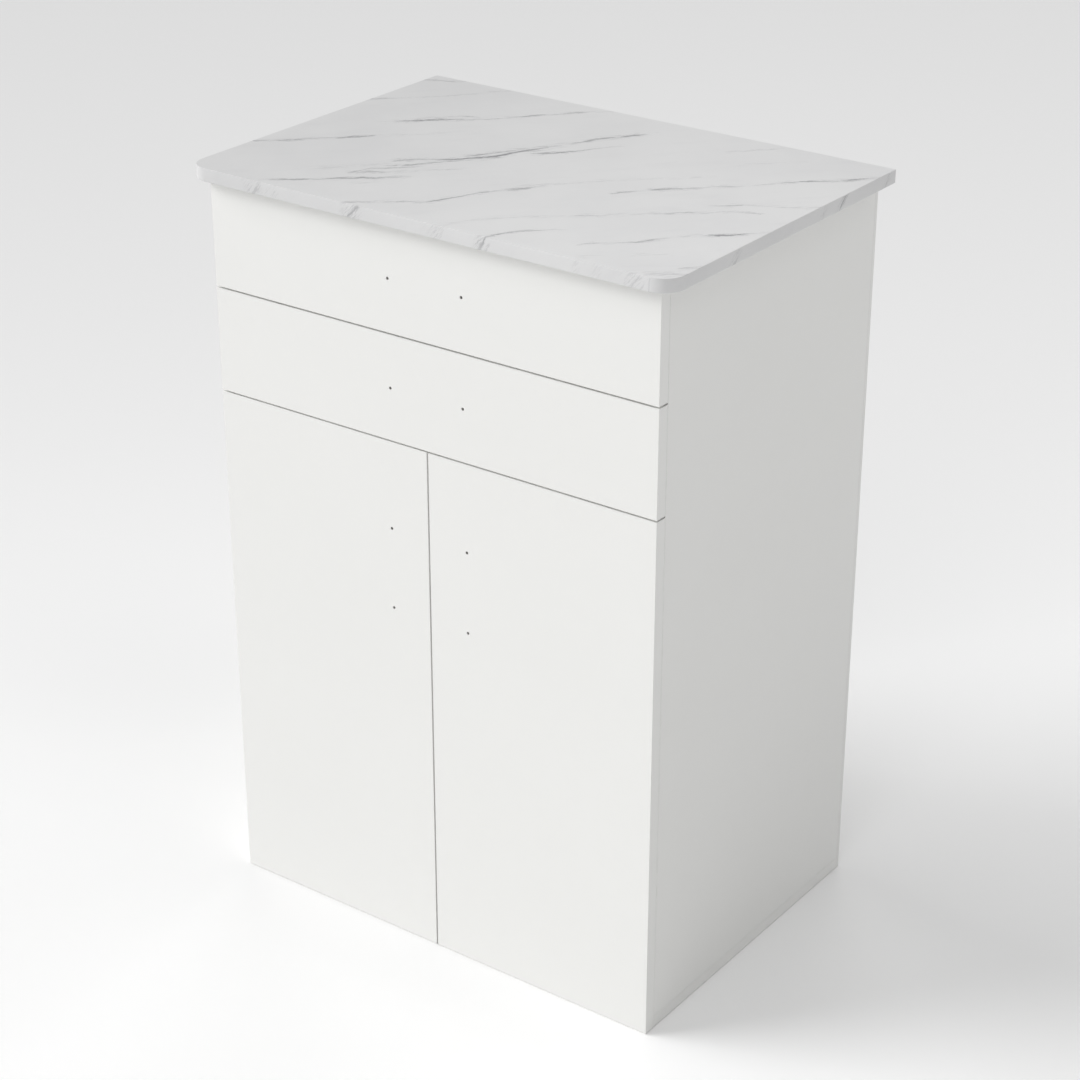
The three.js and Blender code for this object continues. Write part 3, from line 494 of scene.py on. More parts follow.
@dataclass(frozen=True)
class VeinedMarble(Finish):
    """Satin marble: a pale grey ground with soft clouds, and streaky veins that run back to the right."""

    slab: Box
    ground: Triple = paint(215, 215, 215)
    cloud: Triple = paint(203, 203, 204)
    vein: Triple = paint(126, 126, 129)
    # painted light: the share by which the stone's colour gets paler from the left end to the right
    drift: float = 0.10
    # painted shade: how much darker the slab's right face is made, for the side turned away from the lamps
    right_edge: float = 0.063
    fold: float = SLAB_CORNER
    edge_from: float = 0.0003
    edge_to: float = 0.0007
    jump: float = 0.07
    lie: float = math.radians(48)
    span: float = 0.8
    lift: float = 0.68
    taper: float = 0.010
    tail: float = 0.014

    def _unfolded(self, graph: ShaderGraph, place: Signal) -> tuple[Signal, Signal]:
        """Folds the slab's edges out into the plane of its top, in metres from its left end and front edge.

        The way out, from 0 over the middle to 1 at an edge, is (p - p held inside by the fold) / fold. A
        place at a depth d moves out along Y by d. Along X it moves by jump - d, to veins of the strip's own.
        """
        x, y, z = graph.split(place)
        low, high = self.slab.low.tolist(), self.slab.high.tolist()
        depth = high[2] - z
        out_x, out_y = (
            (p - p.most(low[i] + self.fold).least(high[i] - self.fold)) * (1 / self.fold)
            for i, p in enumerate((x, y))
        )
        beyond = depth.rise(self.edge_from, self.edge_to) * self.jump - depth
        return x - low[0] + out_x * beyond, y - low[1] + out_y * depth

    def _along(self, x: Value, y: Value) -> tuple[Any, Any]:
        """Turns a place to how far it is along the veins' lie and across it, each as a share of the span."""
        c, s = math.cos(self.lie), math.sin(self.lie)
        return (x * c + y * s) * (1 / self.span), (y * c - x * s) * (1 / self.span) + self.lift

    def _ink(self, graph: ShaderGraph, along: Signal, across: Signal) -> tuple[Signal, Signal]:
        """How much vein there is at a place, in the veins' cores and flanks: the most that any vein gives.

        A vein's middle and its strength are curves of the distance along the lie. Its core fades from the
        middle to twice its half width, and its flanks from its half width to 5 times that.
        """
        core: Value = 0.0
        flank: Value = 0.0
        for vein in VEINS:
            points = [(*self._along(x / 1000, y / 1000), dark / 100) for x, y, dark in vein.path]
            start, end = points[0][0], points[-1][0]
            before = ((start - self.tail, 0.0), (start - self.taper, 0.0))
            after = ((end + self.taper, 0.0), (end + self.tail, 0.0))
            strength = graph.curve(along, [*before, *((a, dark) for a, _, dark in points), *after])
            off = abs(across - graph.curve(along, [(a, c) for a, c, _ in points])) * self.span
            half = vein.half_width / 1000
            core = ((1 - off.rise(0.0, half * 2.0)) * strength).most(core)
            flank = ((1 - off.rise(half, half * 5)) * strength).most(flank)
        return core, flank

    def build(self, graph: ShaderGraph) -> bpy.types.Material:
        """Breaks the veins into streaks along their lie, over a clouded ground with a fine crystal grain.

        With a core's ink I and a streaky noise n, the core's share is I (n - l) / (h - l), held between 0 and
        I, where l = 0.5 - 0.5 I and h = 0.75 - 0.35 I. Strong veins are all but whole and weak ones are loose
        streaks. The flanks only show where the streaks are strong. The colour also holds painted light: from
        the left end to the right the stone gets paler by the drift, and the right face is darker by painted
        shade.
        """
        place = graph.place()
        flat = graph.joined(*self._unfolded(graph, place), 0.0)
        for scale, reach in ((32, 0.0045), (170, 0.0024), (520, 0.0014)):
            swirl = graph.vector("SUBTRACT", graph.noise(place, scale, 2, colour=True), (0.5, 0.5, 0.5))
            flat = graph.vector("ADD", flat, graph.scaled(swirl, reach))
        x, y, _ = graph.split(flat)
        along, across = self._along(x, y)
        core, flank = self._ink(graph, along, across)
        fine = graph.noise(graph.joined(along * 70.0, across * 560.0, 0.0), 1.0, 4, 0.65)
        coarse = graph.noise(graph.joined(along * 30.0, across * 230.0, 5.0), 1.0, 2, 0.6)
        streaks = fine * 1.5 + coarse * 1.2 - 0.85
        low, high = 0.5 - core * 0.5, 0.75 - core * 0.35
        whole = core * ((streaks - low) / (high - low)).most(0.0).least(1.0)
        amount = whole.most(flank * streaks.rise(0.45, 0.8) * 0.8)
        clouds = graph.noise(place, 7.0, 4, 0.55)
        mist = graph.noise(graph.joined(along * 9.0, across * 34.0, 0.0), 1.0, 4, 0.6).rise(0.5, 0.85)
        crystal = graph.noise(place, 1600.0, 2)
        polish = graph.noise(place, 30.0, 3)
        veil = (clouds.rise(0.3, 0.75) * 0.45 + mist * 0.35 + (crystal - 0.5) * 0.12).most(0.0)
        stone = graph.mix(amount, graph.mix(veil, self.ground, self.cloud), self.vein)
        width = 2 * float(self.slab.half[0])
        # painted shade over the right face, which is unfolded beyond the slab's width
        painted_right_face_shade = x.rise(width, width + self.jump / 2) * self.right_edge
        return graph.surface(
            # the scale holds painted light (paler towards the right end) and painted shade on the right face
            Base_Color=graph.scaled(stone, 1 + x * (self.drift / width) - painted_right_face_shade),
            Roughness=0.42 + (polish - 0.5) * 0.08 + amount * 0.08,
            Normal=graph.bump(crystal + polish, 0.000006),
        )


@dataclass(frozen=True)
class WhiteHardboard(Finish):
    """Thin hardboard with a white coat: matt, with the fibres' fleck showing through."""

    coat: Triple = paint(238, 238, 236)
    fibre: Triple = paint(214, 212, 208)

    def build(self, graph: ShaderGraph) -> bpy.types.Material:
        """Short fibres are a noise drawn out along two directions; a finer one gives the coat's tooth."""
        place = graph.place()
        lying = graph.noise(graph.stretched(place, (90.0, 700.0, 700.0)), 1.0, 3, 0.6)
        standing = graph.noise(graph.stretched(place, (700.0, 700.0, 90.0)), 1.0, 3, 0.6)
        drift = graph.noise(place, 6.0, 3)
        fibres = lying.rise(0.58, 0.78) * 0.5 + standing.rise(0.58, 0.78) * 0.5
        tooth = graph.noise(place, 1100.0, 2)
        shade = (fibres * 0.55 + (drift - 0.5) * 0.35 + 0.08).most(0.0)
        return graph.surface(
            Base_Color=graph.mix(shade, self.coat, self.fibre),
            Roughness=0.62 + (tooth - 0.5) * 0.15,
            Normal=graph.bump(fibres * 0.8 + tooth * 0.6, 0.00003),
        )


@dataclass(frozen=True)
class RolledSteel(Finish):
    """Zinc-plated steel strip: streaks along the strip, a cloudy spangle and bare scuffs."""

    bright: Triple = paint(201, 204, 208)
    dull: Triple = paint(150, 154, 160)

    def build(self, graph: ShaderGraph) -> bpy.types.Material:
        """Streaks are a noise drawn out along Y, as the strip was rolled, over clouds in the plating."""
        place = graph.place()
        streaks = graph.noise(graph.stretched(place, (1800.0, 40.0, 1800.0)), 1.0, 3, 0.6)
        cloud = graph.noise(place, 70.0, 4, 0.6)
        scuff = graph.noise(graph.stretched(place, (500.0, 60.0, 500.0)), 1.0, 4, 0.7).rise(0.60, 0.72)
        wear = (cloud * 0.5 + streaks * 0.4 + scuff * 0.25).least(1.0)
        return graph.surface(
            Base_Color=graph.mix(wear, self.bright, self.dull),
            Metallic=1.0,
            Roughness=0.26 + cloud * 0.14 + streaks * 0.10 + scuff * 0.12,
            Normal=graph.bump(streaks + cloud * 0.4, 0.000015),
        )


@dataclass(frozen=True)
class NickelPlate(Finish):
    """Nickel plate on stampings: warm grey and bright, with hairline scratches and duller handled patches."""

    bright: Triple = paint(213, 210, 203)
    dull: Triple = paint(158, 154, 146)

    def build(self, graph: ShaderGraph) -> bpy.types.Material:
        """Scratches are thin ridges of a noise drawn out along a slanted direction, over dull patches."""
        place = graph.place()
        patch = graph.noise(place, 120.0, 4, 0.6)
        turn = {0: place, "Rotation": (0.6, 0.4, 0.9), "Scale": (60.0, 900.0, 900.0)}
        slant = graph.signal("ShaderNodeMapping", {"vector_type": "POINT"}, turn)
        hair = 1 - abs(graph.noise(slant, 1.0, 2, 0.5) - 0.5).rise(0.0, 0.02)
        pores = graph.noise(place, 2600.0, 2)
        return graph.surface(
            Base_Color=graph.mix((patch * 0.6 + hair * 0.15).least(1.0), self.bright, self.dull),
            Metallic=1.0,
            Roughness=0.17 + patch * 0.14 + hair * 0.10,
            Normal=graph.bump(pores * 0.5 - hair * 0.6, 0.000008),
        )


@dataclass(frozen=True)
class BallSteel(Finish):
    """Ground and polished bearing steel, with a film of grease in broad smears."""

    bright: Triple = paint(222, 224, 227)
    grease: Triple = paint(150, 143, 122)

    def build(self, graph: ShaderGraph) -> bpy.types.Material:
        """Smears of grease come from a soft noise that darkens the polish and roughens it."""
        place = graph.place()
        smear = graph.noise(place, 420.0, 3, 0.6).rise(0.5, 0.75)
        return graph.surface(
            Base_Color=graph.mix(smear * 0.5, self.bright, self.grease),
            Metallic=1.0,
            Roughness=0.08 + smear * 0.22,
            Normal=graph.bump(smear, 0.00001),
        )


@dataclass(frozen=True)
class MouldedPlastic(Finish):
    """Moulded nylon with a spark-eroded texture, faint flow lines and a rubbed tone."""

    colour: Triple = paint(222, 220, 212)
    rubbed: Triple = paint(188, 184, 172)

    def build(self, graph: ShaderGraph) -> bpy.types.Material:
        """A fine noise pits the surface and bent bands of a coarser one show how the nylon flowed."""
        place = graph.place()
        pits = graph.noise(place, 2200.0, 2)
        flow = graph.noise(graph.stretched(place, (60.0, 220.0, 60.0)), 1.0, 3, 0.6)
        return graph.surface(
            Base_Color=graph.mix(flow.rise(0.35, 0.8) * 0.5 + pits * 0.08, self.colour, self.rubbed),
            Roughness=0.42 + pits * 0.16,
            Normal=graph.bump(pits + flow * 0.5, 0.00002),
        )


WHITE, STONE, BACKING = WhiteLaminate(), VeinedMarble(Box.of("worktop")), WhiteHardboard()
CORE, FRONT_CORE = ChipboardCore(), ChipboardCore(pale=paint(216, 215, 212), dark=paint(178, 177, 174))
ZINC, NICKEL, POLISHED, NYLON = RolledSteel(), NickelPlate(), BallSteel(), MouldedPlastic()

# ---------------------------------------------------------------- shapes


@dataclass(frozen=True)
class Shell:
    """A closed shape in quads, with flat caps."""

    points: np.ndarray
    quads: np.ndarray
    caps: tuple[np.ndarray, ...]

    @staticmethod
    def of_grid(grid: np.ndarray) -> "Shell":
        """A shape from rows of points, in which each row closes round and a flat cap closes each end row.

        The faces are turned outwards: if the sum of p . (q x r) over the shape's triangles, which is six
        times its volume, is negative, every face is reversed.

        Args:
            grid: points, as rows by columns by 3.

        Returns:
            The shape.
        """
        rows, columns = grid.shape[:2]
        index = np.arange(rows * columns).reshape(rows, columns)
        onward = np.roll(index, -1, axis=1)
        quads = np.stack((index[:-1], onward[:-1], onward[1:], index[1:]), axis=-1).reshape(-1, 4)
        caps = (index[0][::-1], index[-1])
        points = grid.reshape(-1, 3)
        fans = [np.stack((np.full(columns - 2, cap[0]), cap[1:-1], cap[2:]), axis=-1) for cap in caps]
        triangles = np.concatenate((quads[:, :3], quads[:, [0, 2, 3]], *fans))
        p, q, r = (points[triangles[:, i]] - points.mean(axis=0) for i in range(3))
        if (p * np.cross(q, r)).sum() < 0:
            quads, caps = quads[:, ::-1], tuple(cap[::-1] for cap in caps)
        return Shell(points, quads, caps)

    @staticmethod
    def joined(shells: Iterable["Shell"]) -> "Shell":
        """Several shapes as one, each still closed."""
        shells = list(shells)
        starts = np.cumsum([0, *(len(s.points) for s in shells[:-1])])
        return Shell(
            np.concatenate([s.points for s in shells]),
            np.concatenate([s.quads + start for s, start in zip(shells, starts)]),
            tuple(cap + start for s, start in zip(shells, starts) for cap in s.caps),
        )

    def placed(self, seat: Sequence[float], axis: Sequence[float]) -> "Shell":
        """This shape with its Z turned to an axis and its origin moved to a seat.

        The columns of the turning matrix are two vectors square to the axis, and the axis.
        """
        up = np.array(axis, float) / np.linalg.norm(axis)
        aside = np.cross(up, (0.0, 0.0, 1.0) if abs(up[2]) < 0.9 else (1.0, 0.0, 0.0))
        aside /= np.linalg.norm(aside)
        turn = np.stack((aside, np.cross(up, aside), up), axis=1)
        return Shell(self.points @ turn.T + np.array(seat, float), self.quads, self.caps)

    def piece(self, name: str, finish: Finish, round_to: float = 32.0) -> bpy.types.Object:
        """This shape as a Blender object at the origin, smooth across edges of less than round_to degrees."""
        mesh = bpy.data.meshes.new(name)
        faces = [*self.quads.tolist(), *(cap.tolist() for cap in self.caps)]
        mesh.from_pydata(self.points.tolist(), [], faces)
        return linked(name, mesh, (finish,), round_to)


def linked(name: str, mesh: bpy.types.Mesh, finishes: Sequence[Finish], round_to: float) -> bpy.types.Object:
    """An object for a mesh, in the scene, with its finishes and its smooth edges."""
    for finish in finishes:
        mesh.materials.append(finish.material())
    mesh.polygons.foreach_set("use_smooth", np.ones(len(mesh.polygons), bool))
    mesh.set_sharp_from_angle(angle=math.radians(round_to))
    mesh.update()
    piece = bpy.data.objects.new(name, mesh)
    bpy.context.scene.collection.objects.link(piece)
    return piece


def rings_at(x: np.ndarray, y: np.ndarray, height: np.ndarray) -> np.ndarray:
    """Points from the X and Y of each ring's points and each ring's one height."""
    return np.stack((x, y, np.broadcast_to(height[:, None], x.shape)), axis=-1)


def turned(profile: Sequence[tuple[float, float]], steps: int) -> Shell:
    """A profile of (radius, height) turned about Z.

    Point (i, j) is (r_i cos a_j, r_i sin a_j, h_i) with a_j = j / steps of a full turn.
    """
    radius, height = np.array(profile, float).T
    angle = np.linspace(0, 2 * math.pi, steps, endpoint=False)
    reach = radius[:, None]
    return Shell.of_grid(rings_at(reach * np.cos(angle), reach * np.sin(angle), height))


def plate(
    low: np.ndarray,
    high: np.ndarray,
    radii: Sequence[float],
    eases: tuple[float, float],
    steps: int = 24,
    ease_steps: int = 6,
) -> Shell:
    """A flat plate between two corners, with round corners in plan and eased upper and lower edges.

    Around the outline, point j is the corner's centre plus (radius + outset_i) times the unit vector at a_j.
    Up the side, the pair (outset_i, height_i) runs round a quarter circle at the foot and another at the top.

    Args:
        low, high: opposite corners.
        radii: the corners' radii, counter-clockwise from the one at low X and low Y.
        eases: the radii of the lower and the upper eased edge.
        steps, ease_steps: how many facets a corner and an ease have.

    Returns:
        The plate.
    """
    starts = (math.pi, 1.5 * math.pi, 0.0, 0.5 * math.pi)
    corners = ((low, low), (high, low), (high, high), (low, high))
    inward = ((1, 1), (-1, 1), (-1, -1), (1, -1))
    angle = np.concatenate([start + np.linspace(0, math.pi / 2, steps + 1) for start in starts])
    radius = np.repeat(np.array(radii, float), steps + 1)
    centre_x, centre_y = (
        np.repeat([corner[i][i] + way[i] * r for corner, way, r in zip(corners, inward, radii)], steps + 1)
        for i in (0, 1)
    )
    swing = np.linspace(0, math.pi / 2, ease_steps + 1)
    foot, top = eases
    outset = np.concatenate((foot * (np.sin(swing) - 1), top * (np.cos(swing) - 1)))
    height = np.concatenate((low[2] + foot * (1 - np.cos(swing)), high[2] - top * (1 - np.sin(swing))))
    reach = radius[None, :] + outset[:, None]
    x, y = centre_x + reach * np.cos(angle), centre_y + reach * np.sin(angle)
    return Shell.of_grid(rings_at(x, y, height))


def ball(centre: Sequence[float], radius: float, rings: int = 10, steps: int = 16) -> Shell:
    """A ball: nearly a half circle turned about Z, with a small flat at each pole."""
    highest = 0.47 * math.pi
    polar = np.linspace(-highest, highest, rings)
    shape = turned(list(zip(radius * np.cos(polar), radius * np.sin(polar))), steps)
    return shape.placed(centre, (0.0, 0.0, 1.0))


def along_y(outline: np.ndarray, start: float, end: float) -> Shell:
    """An outline of (x, z) carried along Y from start to end."""
    grid = np.stack([np.insert(outline, 1, y, axis=1) for y in (start, end)])
    return Shell.of_grid(grid)


class Recess(Enum):
    """What a screw's head is driven by."""

    CROSS = "cross"
    HEX = "hex"


# A screw head's recess, in shares of the head's radius
POLE_SHARE = 0.06  # the flat at the middle
CROSS_ARM, CROSS_REACH, CROSS_TAPER = 0.17, 0.66, 0.12
HEX_HALF = 0.50
RECESS_FLANK = 0.07


@dataclass(frozen=True)
class ScrewHead:
    """A screw's head, or a cover cap if its recess has no depth."""

    radius: float
    rise: float
    recess: Recess = Recess.CROSS
    depth: float = 0.0012
    sink: float = 0.0004
    crown: float = 0.5
    rings: int = 11
    steps: int = 40

    def shell(self) -> Shell:
        """The head, with its axis along Z and its seat at height 0.

        With q the share of the radius, the height is rise (1 - crown q^2) less the recess. A cross cuts where
        the smaller of |x| and |y| is under its arm's half width, as far as its reach, and a hexagon where the
        largest of the distances to its three pairs of flats is under half its width. Both fade out over a
        narrow flank.
        """
        share = np.linspace(POLE_SHARE, 1.0, self.rings)
        angle = np.linspace(0, 2 * math.pi, self.steps, endpoint=False)
        x, y = share[:, None] * np.cos(angle), share[:, None] * np.sin(angle)
        if self.recess is Recess.CROSS:
            inside = np.clip((CROSS_ARM - np.minimum(abs(x), abs(y))) / RECESS_FLANK, 0, 1)
            inside *= np.clip((CROSS_REACH - share[:, None]) / CROSS_TAPER, 0, 1)
        else:
            flats = [abs(x * math.cos(a) + y * math.sin(a)) for a in (0, math.pi / 3, 2 * math.pi / 3)]
            inside = np.clip((HEX_HALF - np.max(flats, axis=0)) / RECESS_FLANK, 0, 1)
        height = self.rise * (1 - self.crown * share[:, None] ** 2) - self.depth * inside
        rim = self.rise * (1 - self.crown)
        edge = np.array(((1.0, rim * 0.4), (1.0, -self.sink), (0.5, -self.sink - self.depth)))
        low = np.broadcast_to(edge[:, 1:], (3, self.steps))
        x = np.concatenate((x, edge[:, :1] * np.cos(angle)))
        y = np.concatenate((y, edge[:, :1] * np.sin(angle)))
        grid = np.stack((x * self.radius, y * self.radius, np.concatenate((height, low))), axis=-1)
        return Shell.of_grid(grid)

    def row(self, seats: Iterable[Sequence[float]], axis: Sequence[float]) -> list[Shell]:
        """One head at each seat, all facing along the axis."""
        shape = self.shell()
        return [shape.placed(seat, axis) for seat in seats]


MERGE_STEP = 1e-6  # corners are equal if they round to the same step
FLAT_WITHIN = 0.3  # degrees between two triangles of one flat face
SHARP_OVER = 40.0  # degrees between two faces that meet in a sharp edge
ON_PLANE = 2e-5  # how near a corner lies to its box's plane
OFF_PLANE = 1e-4  # how far the middle of a hole's face lies from every plane of the box


@dataclass(frozen=True)
class Copied:
    """A copy of a CAD node with its triangles merged, its flat faces whole and its edges eased."""

    node: str
    finish: Finish
    core: Finish | None = None
    ease: float = 0.0005
    bore_ease: float = 0.00015
    segments: int = 3

    def _merged(self) -> bpy.types.Mesh:
        """The node's triangles with equal corners merged and each flat face made whole."""
        source = frame["nodes"][self.node].data
        points = np.empty(len(source.vertices) * 3, np.float32)
        source.vertices.foreach_get("co", points)
        corners = np.empty(len(source.loops), np.int32)
        source.loops.foreach_get("vertex_index", corners)
        steps = np.round(points.reshape(-1, 3) / MERGE_STEP).astype(np.int64)
        unique, owner = np.unique(steps, axis=0, return_inverse=True)
        triangles = owner.reshape(-1)[corners].reshape(-1, 3)
        whole = (triangles != np.roll(triangles, 1, axis=1)).all(axis=1)
        mesh = bpy.data.meshes.new(self.node + "_finished")
        mesh.from_pydata((unique * MERGE_STEP).tolist(), [], triangles[whole].tolist())
        shape = bmesh.new()
        shape.from_mesh(mesh)
        flat = math.radians(FLAT_WITHIN)
        bmesh.ops.dissolve_limit(shape, angle_limit=flat, verts=shape.verts, edges=shape.edges)
        shape.to_mesh(mesh)
        shape.free()
        return mesh

    def _weigh_edges(self, mesh: bpy.types.Mesh, box: Box) -> None:
        """Gives full bevel weight to the box's own edges, and less to the sharp edges of holes and grooves.

        An edge is the box's own if both of its ends lie on the same two of the box's planes.
        """
        points = np.empty(len(mesh.vertices) * 3, np.float32)
        mesh.vertices.foreach_get("co", points)
        points = points.reshape(-1, 3)
        on_plane = np.concatenate([abs(points - corner) < ON_PLANE for corner in (box.low, box.high)], axis=1)
        ends = np.empty(len(mesh.edges) * 2, np.int32)
        mesh.edges.foreach_get("vertices", ends)
        ends = ends.reshape(-1, 2)
        shared = (on_plane[ends[:, 0]] & on_plane[ends[:, 1]]).sum(axis=1)
        mesh.set_sharp_from_angle(angle=math.radians(SHARP_OVER))
        sharp = np.zeros(len(mesh.edges), bool)
        if "sharp_edge" in mesh.attributes:
            mesh.attributes["sharp_edge"].data.foreach_get("value", sharp)
        weight = np.where(shared >= 2, 1.0, np.where(sharp, self.bore_ease / self.ease, 0.0))
        weights = mesh.attributes.new("bevel_weight_edge", "FLOAT", "EDGE")
        weights.data.foreach_set("value", weight.astype(np.float32))

    def _mark_core(self, mesh: bpy.types.Mesh, box: Box) -> None:
        """Gives the second material to the faces that lie on none of the box's planes, as in a hole."""
        centres = np.array([face.center for face in mesh.polygons])
        inside = np.minimum(abs(centres - box.low), abs(centres - box.high)).min(axis=1) > OFF_PLANE
        mesh.polygons.foreach_set("material_index", inside.astype(np.int32))

    def piece(self) -> bpy.types.Object:
        """The finished piece, which stands for its node, with its finishes and its eased edges."""
        mesh, box = self._merged(), Box.of(self.node)
        self._weigh_edges(mesh, box)
        if self.core is not None:
            self._mark_core(mesh, box)
        for name, value in ((BOARD_CENTRE, box.centre), (BOARD_HALF, box.half)):
            attribute = mesh.attributes.new(name, "FLOAT_VECTOR", "POINT")
            attribute.data.foreach_set("vector", np.tile(value.astype(np.float32), len(mesh.vertices)))
        finishes = [self.finish] if self.core is None else [self.finish, self.core]
        piece = linked(self.node + "_finished", mesh, finishes, SHARP_OVER)
        bevel = piece.modifiers.new("eased edges", "BEVEL")
        bevel.width, bevel.segments = self.ease, self.segments
        bevel.limit_method, bevel.harden_normals = "WEIGHT", True
        return piece


def settle(piece: bpy.types.Object, body: str, slot: Slot, *nodes: str) -> None:
    """Puts a piece on its body and hides the nodes that it stands for."""
    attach(piece, body)
    if nodes:
        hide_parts(*nodes)
    log.info("%s rides on %s", piece.name, body)


def body_of(node: str) -> str:
    """The body that a CAD node belongs to."""
    return frame["nodes"][node]["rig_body"]


def settle_copy(copy: Copied, slot: Slot) -> None:
    """Settles a copied node's piece in its node's place."""
    settle(copy.piece(), body_of(copy.node), slot, copy.node)


def settle_small(name: str, shells: Iterable[Shell], finish: Finish, body: str, slot: Slot) -> None:
    """Settles several small shapes as one piece."""
    settle(Shell.joined(shells).piece(name, finish), body, slot)


# ---------------------------------------------------------------- sub-assemblies


@dataclass
class Worktop:
    """The marble slab, with eased edges and two round front corners."""

    node: str = "worktop"
    corner: float = SLAB_CORNER
    arris: float = 0.0015
    eases: tuple[float, float] = (0.0011, 0.0004)

    def build(self) -> None:
        """Builds the slab in its CAD node's box."""
        box = Box.of(self.node)
        radii = (self.corner, self.corner, self.arris, self.arris)
        slab = plate(box.low, box.high, radii, self.eases)
        settle(slab.piece(self.node + "_slab", STONE), CABINET, Slot.MARBLE, self.node)


@dataclass
class Carcass:
    """The fixed boards, the back panel and their fittings."""

    boards: tuple[str, ...] = (
        "bottom_panel",
        "side_panel_left",
        "side_panel_right",
        "front_rail",
        "rear_rail",
        "divider_shelf",
        "adjustable_shelf",
    )
    cap: ScrewHead = ScrewHead(0.0085, 0.0011, depth=0.0, crown=0.55, rings=6, steps=28)
    assembly_screw: ScrewHead = ScrewHead(0.005, 0.0003, Recess.HEX, depth=0.0022, crown=0.1)
    wood_screw: ScrewHead = ScrewHead(0.004, 0.0011, depth=0.0012)
    pin: ScrewHead = ScrewHead(0.0014, 0.0005, depth=0.0, crown=0.7, rings=3, steps=10)
    cap_inset: float = 0.034
    cap_rows: tuple[tuple[str, tuple[float, ...]], ...] = (
        ("divider_shelf", (0.06, -0.06)),
        ("front_rail", (0.045,)),
        ("rear_rail", (-0.045,)),
    )
    bottom_screw_inset: float = 0.07
    bottom_screws: int = 3
    rail_screw_inset: float = 0.12
    pin_pitch: float = 0.095
    pin_inset_up: float = 0.03
    pin_inset_across: float = 0.09
    pins_across: int = 5

    def build(self) -> None:
        """Builds the boards, then the fittings that show."""
        for node in self.boards:
            settle_copy(Copied(node, WHITE, CORE), Slot.WHITE_BOARD)
        settle_copy(Copied("back_panel", BACKING, ease=0.0003), Slot.HARDBOARD)
        self._cover_caps()
        self._screws()
        self._panel_pins()

    def _cover_caps(self) -> None:
        """Nylon caps over the cam locks, on the undersides of the divider and of the rails at both ends.

        A row's place is its distance behind the board's front edge, or in front of its rear edge if negative.
        """
        shells: list[Shell] = []
        for node, rows in self.cap_rows:
            box = Box.of(node)
            ends = (box.low[0] + self.cap_inset, box.high[0] - self.cap_inset)
            for y in (box.low[1] + row if row > 0 else box.high[1] + row for row in rows):
                shells += self.cap.row([(x, y, box.low[2]) for x in ends], (0, 0, -1))
        settle_small("cam_cover_caps", shells, NYLON, CABINET, Slot.PLASTIC)

    def _screws(self) -> None:
        """Screws up through the bottom panel into the sides, and through the rails into the worktop."""
        bottom, front, rear = (Box.of(n) for n in ("bottom_panel", "front_rail", "rear_rail"))
        half = Box.of("side_panel_right").half[0]
        ends = (bottom.low[0] + half, bottom.high[0] - half)
        inset = self.bottom_screw_inset
        depth = np.linspace(bottom.low[1] + inset, bottom.high[1] - inset, self.bottom_screws)
        heads = self.assembly_screw.row([(x, y, bottom.low[2]) for x in ends for y in depth], (0, 0, -1))
        for rail in (front, rear):
            ends = (rail.low[0] + self.rail_screw_inset, rail.high[0] - self.rail_screw_inset)
            heads += self.wood_screw.row([(x, rail.centre[1], rail.low[2]) for x in ends], (0, 0, -1))
        settle_small("carcass_screws", heads, ZINC, CABINET, Slot.STEEL)

    def _panel_pins(self) -> None:
        """Pins that hold the back panel to the sides, the bottom, the divider and the rear rail."""
        back, half = Box.of("back_panel"), Box.of("side_panel_right").half[0]
        pins_up = 1 + round(2 * back.half[2] / self.pin_pitch)
        up = np.linspace(back.low[2] + self.pin_inset_up, back.high[2] - self.pin_inset_up, pins_up)
        seats = [(x, back.high[1], z) for x in (back.low[0] + half, back.high[0] - half) for z in up]
        inset = self.pin_inset_across
        across = np.linspace(back.low[0] + inset, back.high[0] - inset, self.pins_across)
        levels = [Box.of(n).centre[2] for n in ("bottom_panel", "divider_shelf", "rear_rail")]
        seats += [(x, back.high[1], z) for x in across for z in levels]
        settle_small("back_panel_pins", self.pin.row(seats, (0, 1, 0)), ZINC, CABINET, Slot.STEEL)


@dataclass
class SmallParts:
    """The nylon shelf pins and glides."""

    pin_ease: float = 0.0003
    glide_ease: float = 0.0002

    def build(self) -> None:
        """Finishes each of them as a copy of its node."""
        for corner in (f"{end}_{side.word}" for side in Side for end in ("front", "rear")):
            settle_copy(Copied("shelf_pin_" + corner, NYLON, ease=self.pin_ease), Slot.PLASTIC)
            settle_copy(Copied("glide_" + corner, NYLON, ease=self.glide_ease, segments=2), Slot.PLASTIC)


